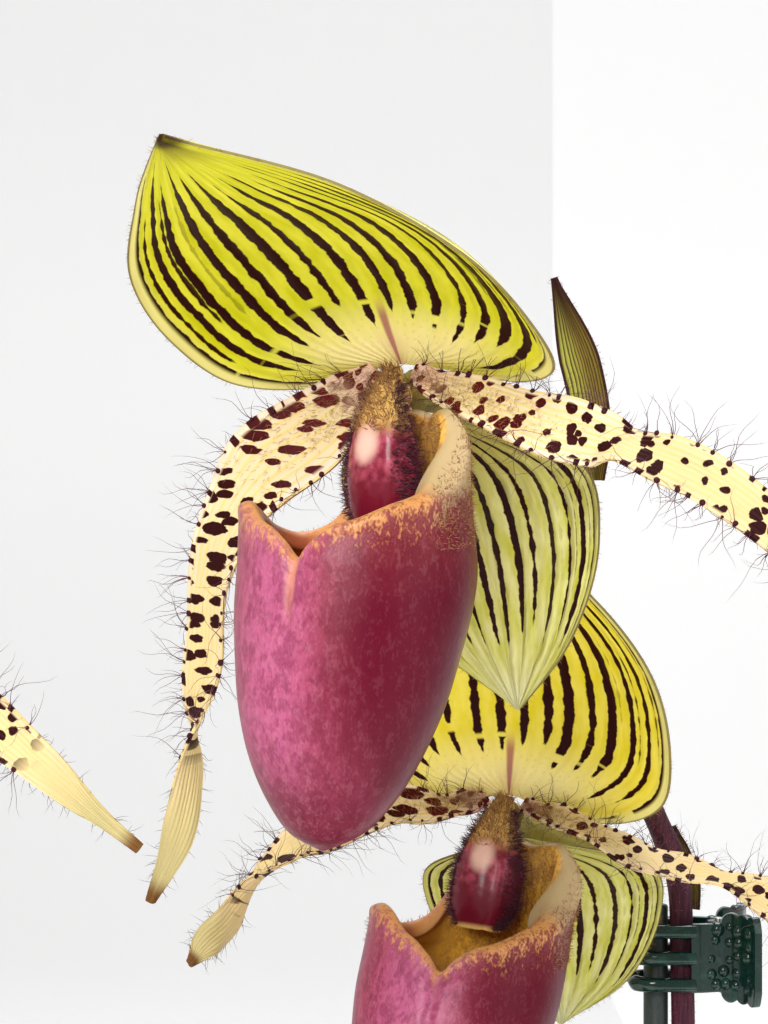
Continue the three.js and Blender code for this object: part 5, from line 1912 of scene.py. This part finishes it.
@dataclass
class Pot:
    """The clay pot and what fills it, in millimetres."""

    height: float = 120
    foot: float = 50
    body: float = 61
    rim: float = 68.5
    rim_height: float = 22
    wall: float = 4.5
    floor: float = 5
    mix_top: float = 104
    mix_crown: float = 3
    gap: float = 0.35
    holes: int = 3
    hole: float = 4
    hole_ring: float = 28
    chips: int = 190
    seed: int = 7

    def inner(self, height: float) -> float:
        """Returns the inside radius at a height."""
        low, high = self.foot - self.wall + 1, self.rim - self.wall
        return low + (height - self.floor) / (self.height - self.floor) * (high - low)

    def turned(self, name: str, outline: Stations, rounding: float) -> Piece:
        """Turns an outline round the pot's axis.

        Args:
            name: the piece's name.
            outline: radius and height, from axis to axis.
            rounding: the width of the rounded edges in millimetres.

        Returns:
            The closed turned piece.
        """
        deselect()
        bpy.ops.mesh.primitive_plane_add(size=MM)
        piece = named(name)
        piece.data.clear_geometry()
        rows = [(radius * MM, 0.0, height * MM) for radius, height in outline]
        piece.data.from_pydata(rows, [(k, k + 1) for k in range(len(rows) - 1)], [])
        pick(piece)
        bpy.ops.object.mode_set(mode="EDIT")
        bpy.ops.mesh.select_all(action="SELECT")
        bpy.ops.mesh.spin(steps=120, angle=2 * math.pi, center=(0, 0, 0), axis=(0, 0, 1))
        bpy.ops.object.mode_set(mode="OBJECT")
        close_seams(piece, 2e-6)
        if rounding:
            bevel(piece, rounding, 3, 25)
        smooth(piece, 40)
        return piece

    def build(self, palette: Palette) -> None:
        """Makes the pot with its drain holes, the bed and the loose bark."""
        body_top, inside = self.height - self.rim_height, self.rim - self.wall
        outline = ((0, 0), (self.foot, 0), (self.body, body_top - 1), (self.rim - 2.6, body_top),
                   (self.rim, self.height), (inside, self.height), (self.foot - self.wall + 1, self.floor),
                   (0, self.floor))
        pot = self.turned("clay_pot", outline, 1.4)
        for turn in range(self.holes):
            angle = 2 * math.pi * (turn + 0.5) / self.holes
            cutter = rod("drill", 40, self.hole, 20,
                         (self.hole_ring * math.cos(angle), self.hole_ring * math.sin(angle), 0))
            apply_modifier(pot, "BOOLEAN", operation="DIFFERENCE", object=cutter, solver="EXACT")
            bpy.data.objects.remove(cutter)
        smooth(pot, 40)
        fit_out(pot, palette.clay, Slot.CLAY, "pot")
        low, top = self.floor + self.gap, self.mix_top
        bed = self.turned("bark_bed", (
            (0, low), (self.inner(low) - 2 * self.gap, low), (self.inner(top) - 2 * self.gap, top),
            (0.6 * self.inner(top), top + 0.7 * self.mix_crown), (0, top + self.mix_crown)), 0)
        fit_out(bed, palette.bark, Slot.BARK, "potting_mix")
        random = np.random.default_rng(self.seed)
        for kind, share in enumerate((0.55, 0.3, 0.15)):
            fit_out(self.loose(f"bark_{kind + 1}", random, int(self.chips * share), kind == 2),
                    palette.chips[kind], Slot.BARK)

    def loose(self, name: str, random: np.random.Generator, count: int, small: bool) -> Piece:
        """Makes one kind of loose chip and lays many of them on the bed.

        Args:
            name: the piece's name.
            random: the pot's own draw.
            count: how many chips.
            small: true for round crumbs, false for flat chips.

        Returns:
            The chips as one mesh.
        """
        deselect()
        bpy.ops.mesh.primitive_cube_add(size=MM)
        chip = named("chip")
        apply_modifier(chip, "BEVEL", width=0.22 * MM, segments=2, limit_method="NONE")
        rows = corners(chip)
        set_corners(chip, rows + 0.09 * MM * random.normal(size=rows.shape))
        places = []
        for _ in range(count):
            distance = (self.inner(self.mix_top) - 6) * math.sqrt(random.uniform())
            bearing = random.uniform(0, 2 * math.pi)
            crown = self.mix_crown * (1 - (distance / self.inner(self.mix_top)) ** 2)
            size = Vector(random.uniform(3, 5, 3)) if small else Vector(
                (random.uniform(7, 15), random.uniform(5, 10), random.uniform(3, 6)))
            spot = Vector((distance * math.cos(bearing), distance * math.sin(bearing),
                           self.mix_top + crown + random.uniform(-0.5, 1.5))) * MM
            turn = (Matrix.Rotation(random.uniform(0, math.pi), 4, "Z")
                    @ Matrix.Rotation(0.5 * (random.uniform() - 0.5), 4, "X")
                    @ Matrix.Rotation(0.6 * (random.uniform() - 0.5), 4, "Y"))
            places.append(Matrix.Translation(spot) @ turn @ Matrix.Diagonal((*size, 1)))
        piece = scattered(name, chip, places)
        smooth(piece, 30)
        return piece


@dataclass
class Clip:
    """The toothed spring clip on the stake: two jaws, a pin and a coil, in millimetres."""

    pin: Triple = (49.5, 31, 328)
    height: float = 11
    line: Stations = (
        (-13.4, -0.9), (-13.7, -2.3), (-11.8, -3.7), (-7.5, -4.0), (-3.6, -3.7), (0, -2.9),
        (2.2, -3.4), (4.0, -5.4), (5.2, -8.6))
    wall: float = 1.3
    finger: float = 1.25
    finger_levels: Sequence[float] = (-4.3, 0, 4.3)
    finger_end: float = 0.44
    knuckle_radius: float = 1.8
    lobes: Sequence[float] = (0.72, 0.83, 0.94)
    lobe_radius: float = 1.7
    pin_radius: float = 0.7
    seed: int = 5

    def jaw(self, name: str, side: float, knuckles: Stations) -> Piece:
        """Makes one jaw.

        Args:
            name: the piece's name.
            side: 1 for the near jaw, -1 for the far one.
            knuckles: height and length of each knuckle on the pin.

        Returns:
            The jaw in place.
        """
        path = Curve([(x, y, 0) for x, y in self.line])
        bar = path.at(path.evenly(np.linspace(0, self.finger_end + 0.04, 9)))

        def size(along: Points, angle: Points) -> Points:
            """Returns a rounded finger's radius, blunt at its tip."""
            blunt = np.sqrt(np.clip(1 - (1 - np.clip(along / 0.08, 0, 1)) ** 2, 0.02, 1))
            return self.finger * blunt * (1 - 0.1 * np.cos(2 * angle) ** 2)

        pieces = [tube("finger", Curve(bar + np.array([0, 0, level])), 48, 20, size)
                  for level in self.finger_levels]
        plate = shaped_grid("plate", 70, 40, self._plate(path))
        apply_modifier(plate, "SOLIDIFY", thickness=self.wall * MM, offset=0.0)
        bevel(plate, 0.3, 3, 50)
        pieces.append(plate)
        for level, length in knuckles:
            knuckle = rod("knuckle", 36, self.knuckle_radius, length, (0, 0, level))
            bevel(knuckle, 0.25, 2)
            pieces.append(knuckle)
        for height, share, radius in self._studs():
            x, y, _ = path.at(path.evenly(share))[0]
            pieces.append(ball("stud", 3, radius, (x, y - 0.15, height)))
        piece = joined(name, pieces)
        piece.data.transform(Matrix.Translation(Vector(self.pin) * MM) @ Matrix.Diagonal((1, side, 1, 1)))
        close_seams(piece)
        smooth(piece, 40)
        return piece

    def _studs(self) -> list[Triple]:
        """Returns the grip bumps of a handle: height, share along the jaw's line, and radius."""
        random = np.random.default_rng(self.seed)
        return [(level + random.uniform(-0.6, 0.6), share + random.uniform(-0.025, 0.025),
                 random.uniform(0.85, 1.35))
                for share in (0.6, 0.69, 0.78, 0.87) for level in (-4.6, -2.3, 0, 2.3, 4.6)]

    def _plate(self, path: Curve) -> Shape:
        """Returns the formula of the plate behind the fingers, with its lobed handle."""
        def shape(along: Points, across: Points) -> Points:
            """Places each corner on the plate."""
            share = self.finger_end + along * (1 - self.finger_end)
            place = path.at(path.evenly(share))
            reach = (path.length * (share[:, None] - np.array(self.lobes)[None])) / self.lobe_radius
            lobe = self.lobe_radius * np.sqrt(np.clip(1 - reach**2, 0, 1)).max(axis=1)
            end = np.sqrt(np.clip(1 - ((share - 0.96) / 0.06).clip(0, 1) ** 2, 0.25, 1))
            place[:, 2] = across * (self.height / 2 + lobe) * end
            return place
        return shape

    def build(self, palette: Palette) -> None:
        """Makes the jaws, the pin and the coil."""
        near = self.jaw("near_jaw", 1, ((-4.2, 2.6), (4.2, 2.6)))
        fit_out(near, palette.clip, Slot.CLIP, "clip_near_jaw")
        far = self.jaw("far_jaw", -1, ((-1.0, 3.2),))
        fit_out(far, palette.clip, Slot.CLIP, "clip_far_jaw", body=Body.CLIP_JAW)
        pin = rod("hinge_pin", 36, self.pin_radius, self.height + 1, self.pin)
        bevel(pin, 0.2, 2)
        smooth(pin, 40)
        fit_out(pin, palette.steel, Slot.STEEL, "clip_pin")
        turns = np.linspace(0, 6 * math.pi, 60)
        helix = Curve(np.stack([self.pin[0] + 1.42 * np.cos(turns), self.pin[1] + 1.42 * np.sin(turns),
                                self.pin[2] + 1.15 + 1.2 * turns / turns[-1]], axis=1))
        coil = tube("hinge_coil", helix, 220, 10, lambda along, _: np.full_like(along, 0.2))
        fit_out(coil, palette.steel, Slot.STEEL, "clip_spring")


def build_stake(palette: Palette) -> None:
    """Makes the round stake from the mix to its blunt top."""
    foot, top = Vector((37, 10, 22)) * MM, Vector((39.4, 32.2, 336)) * MM
    line = top - foot
    piece = rod("stake_rod", 48, 2.0, line.length / MM)
    bevel(piece, 0.5, 4)
    turn = line.to_track_quat("Z", "Y").to_matrix().to_4x4()
    piece.data.transform(Matrix.Translation((foot + top) / 2) @ turn)
    smooth(piece, 40)
    fit_out(piece, palette.stake, Slot.STAKE, "stake")


# Studio


@dataclass
class Studio:
    """The pale stage, the soft light and the camera, in metres."""

    eye: Triple = (-0.005, -0.360, 0.400)
    lens: float = 84.375
    sensor: float = 36
    backdrop_back: float = 2.3
    backdrop_wide: float = 4.0
    backdrop_high: float = 2.4
    corner: float = 0.182
    glow: float = 0.18
    sky: float = 0.42
    shaded: Colour = colour(237, 237, 237)
    bright: Colour = colour(252, 252, 252)

    def build(self) -> None:
        """Sets the camera, the lights and the stage."""
        self._camera()
        self._stage()
        bpy.context.scene.view_settings.view_transform = "Standard"
        world = bpy.data.worlds.new("studio")
        world.use_nodes = True
        sky = world.node_tree.nodes["Background"]
        sky.inputs["Color"].default_value = (1.0, 1.0, 0.995, 1)
        sky.inputs["Strength"].default_value = self.sky
        bpy.context.scene.world = world
        self._lamp("window", (-0.42, -1.15, 1.05), (-0.02, -0.04, 0.38), 0.7, 23.5)
        self._lamp("fill", (1.1, -0.8, 0.7), (0.0, 0.0, 0.36), 0.9, 3.5)
        self._lamp("crown", (0.2, 0.5, 1.5), (0.0, 0.0, 0.3), 0.8, 13)

    def _camera(self) -> None:
        """Places the camera where the photograph was taken from."""
        camera = new_object("camera", bpy.data.cameras.new("camera"))
        camera.data.lens = self.lens
        camera.data.sensor_width = self.sensor
        camera.data.clip_start = 0.01
        camera.location = self.eye
        camera.rotation_euler = (math.pi / 2, 0, 0)
        bpy.context.scene.camera = camera

    def _lamp(self, name: str, place: Triple, aim: Triple, size: float, power: float) -> None:
        """Adds a large soft lamp."""
        lamp = new_object(name, bpy.data.lights.new(name, "AREA"))
        lamp.data.size = size
        lamp.data.energy = power
        lamp.location = place
        lamp.rotation_euler = (Vector(aim) - Vector(place)).to_track_quat("-Z", "Y").to_euler()

    def _stage(self) -> None:
        """Adds a floor that sweeps up into a backdrop."""
        bend = 0.5

        def shape(along: Points, across: Points) -> Points:
            """Places each corner of the sweep, in millimetres."""
            run = along * (2 * self.backdrop_back + self.backdrop_high)
            start = 2 * self.backdrop_back - bend
            arc = np.clip((run - start) / (bend * math.pi / 2), 0, 1) * math.pi / 2
            back = np.minimum(run, start) - self.backdrop_back + bend * np.sin(arc)
            high = bend * (1 - np.cos(arc)) + np.maximum(run - start - bend * math.pi / 2, 0)
            return np.stack([across * self.backdrop_wide, back, high], axis=1) / MM

        sweep = shaped_grid("sweep", 90, 2, shape)
        smooth(sweep, 80)
        finish = Finish("backdrop", 0.95, Specular_IOR_Level=0.0, Emission_Strength=self.glow)
        sheet = finish.sheet
        x, _, _ = sheet.axes(sheet.object_place())
        split = x.rise(self.corner - 0.002, self.corner + 0.002)
        finish.colour(sheet.blend(split, self.shaded, self.bright))
        sweep.data.materials.append(finish.material)


def write_sizes() -> None:
    """Updates the view layer.
    """
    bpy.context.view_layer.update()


def main() -> None:
    """Builds the studio and every piece of the potted orchid."""
    logging.basicConfig(level=logging.INFO, format="%(message)s")
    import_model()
    Studio().build()
    palette = Palette()
    for bloom in BLOOMS:
        bloom.build(palette)
    for stem in STEMS:
        stem.build(palette)
    for bract in BRACTS:
        bract.build(palette)
    for leaf in LEAVES:
        leaf.build(palette)
    Pot().build(palette)
    build_stake(palette)
    Clip().build(palette)
    write_sizes()


if __name__ == "__main__":
    main()
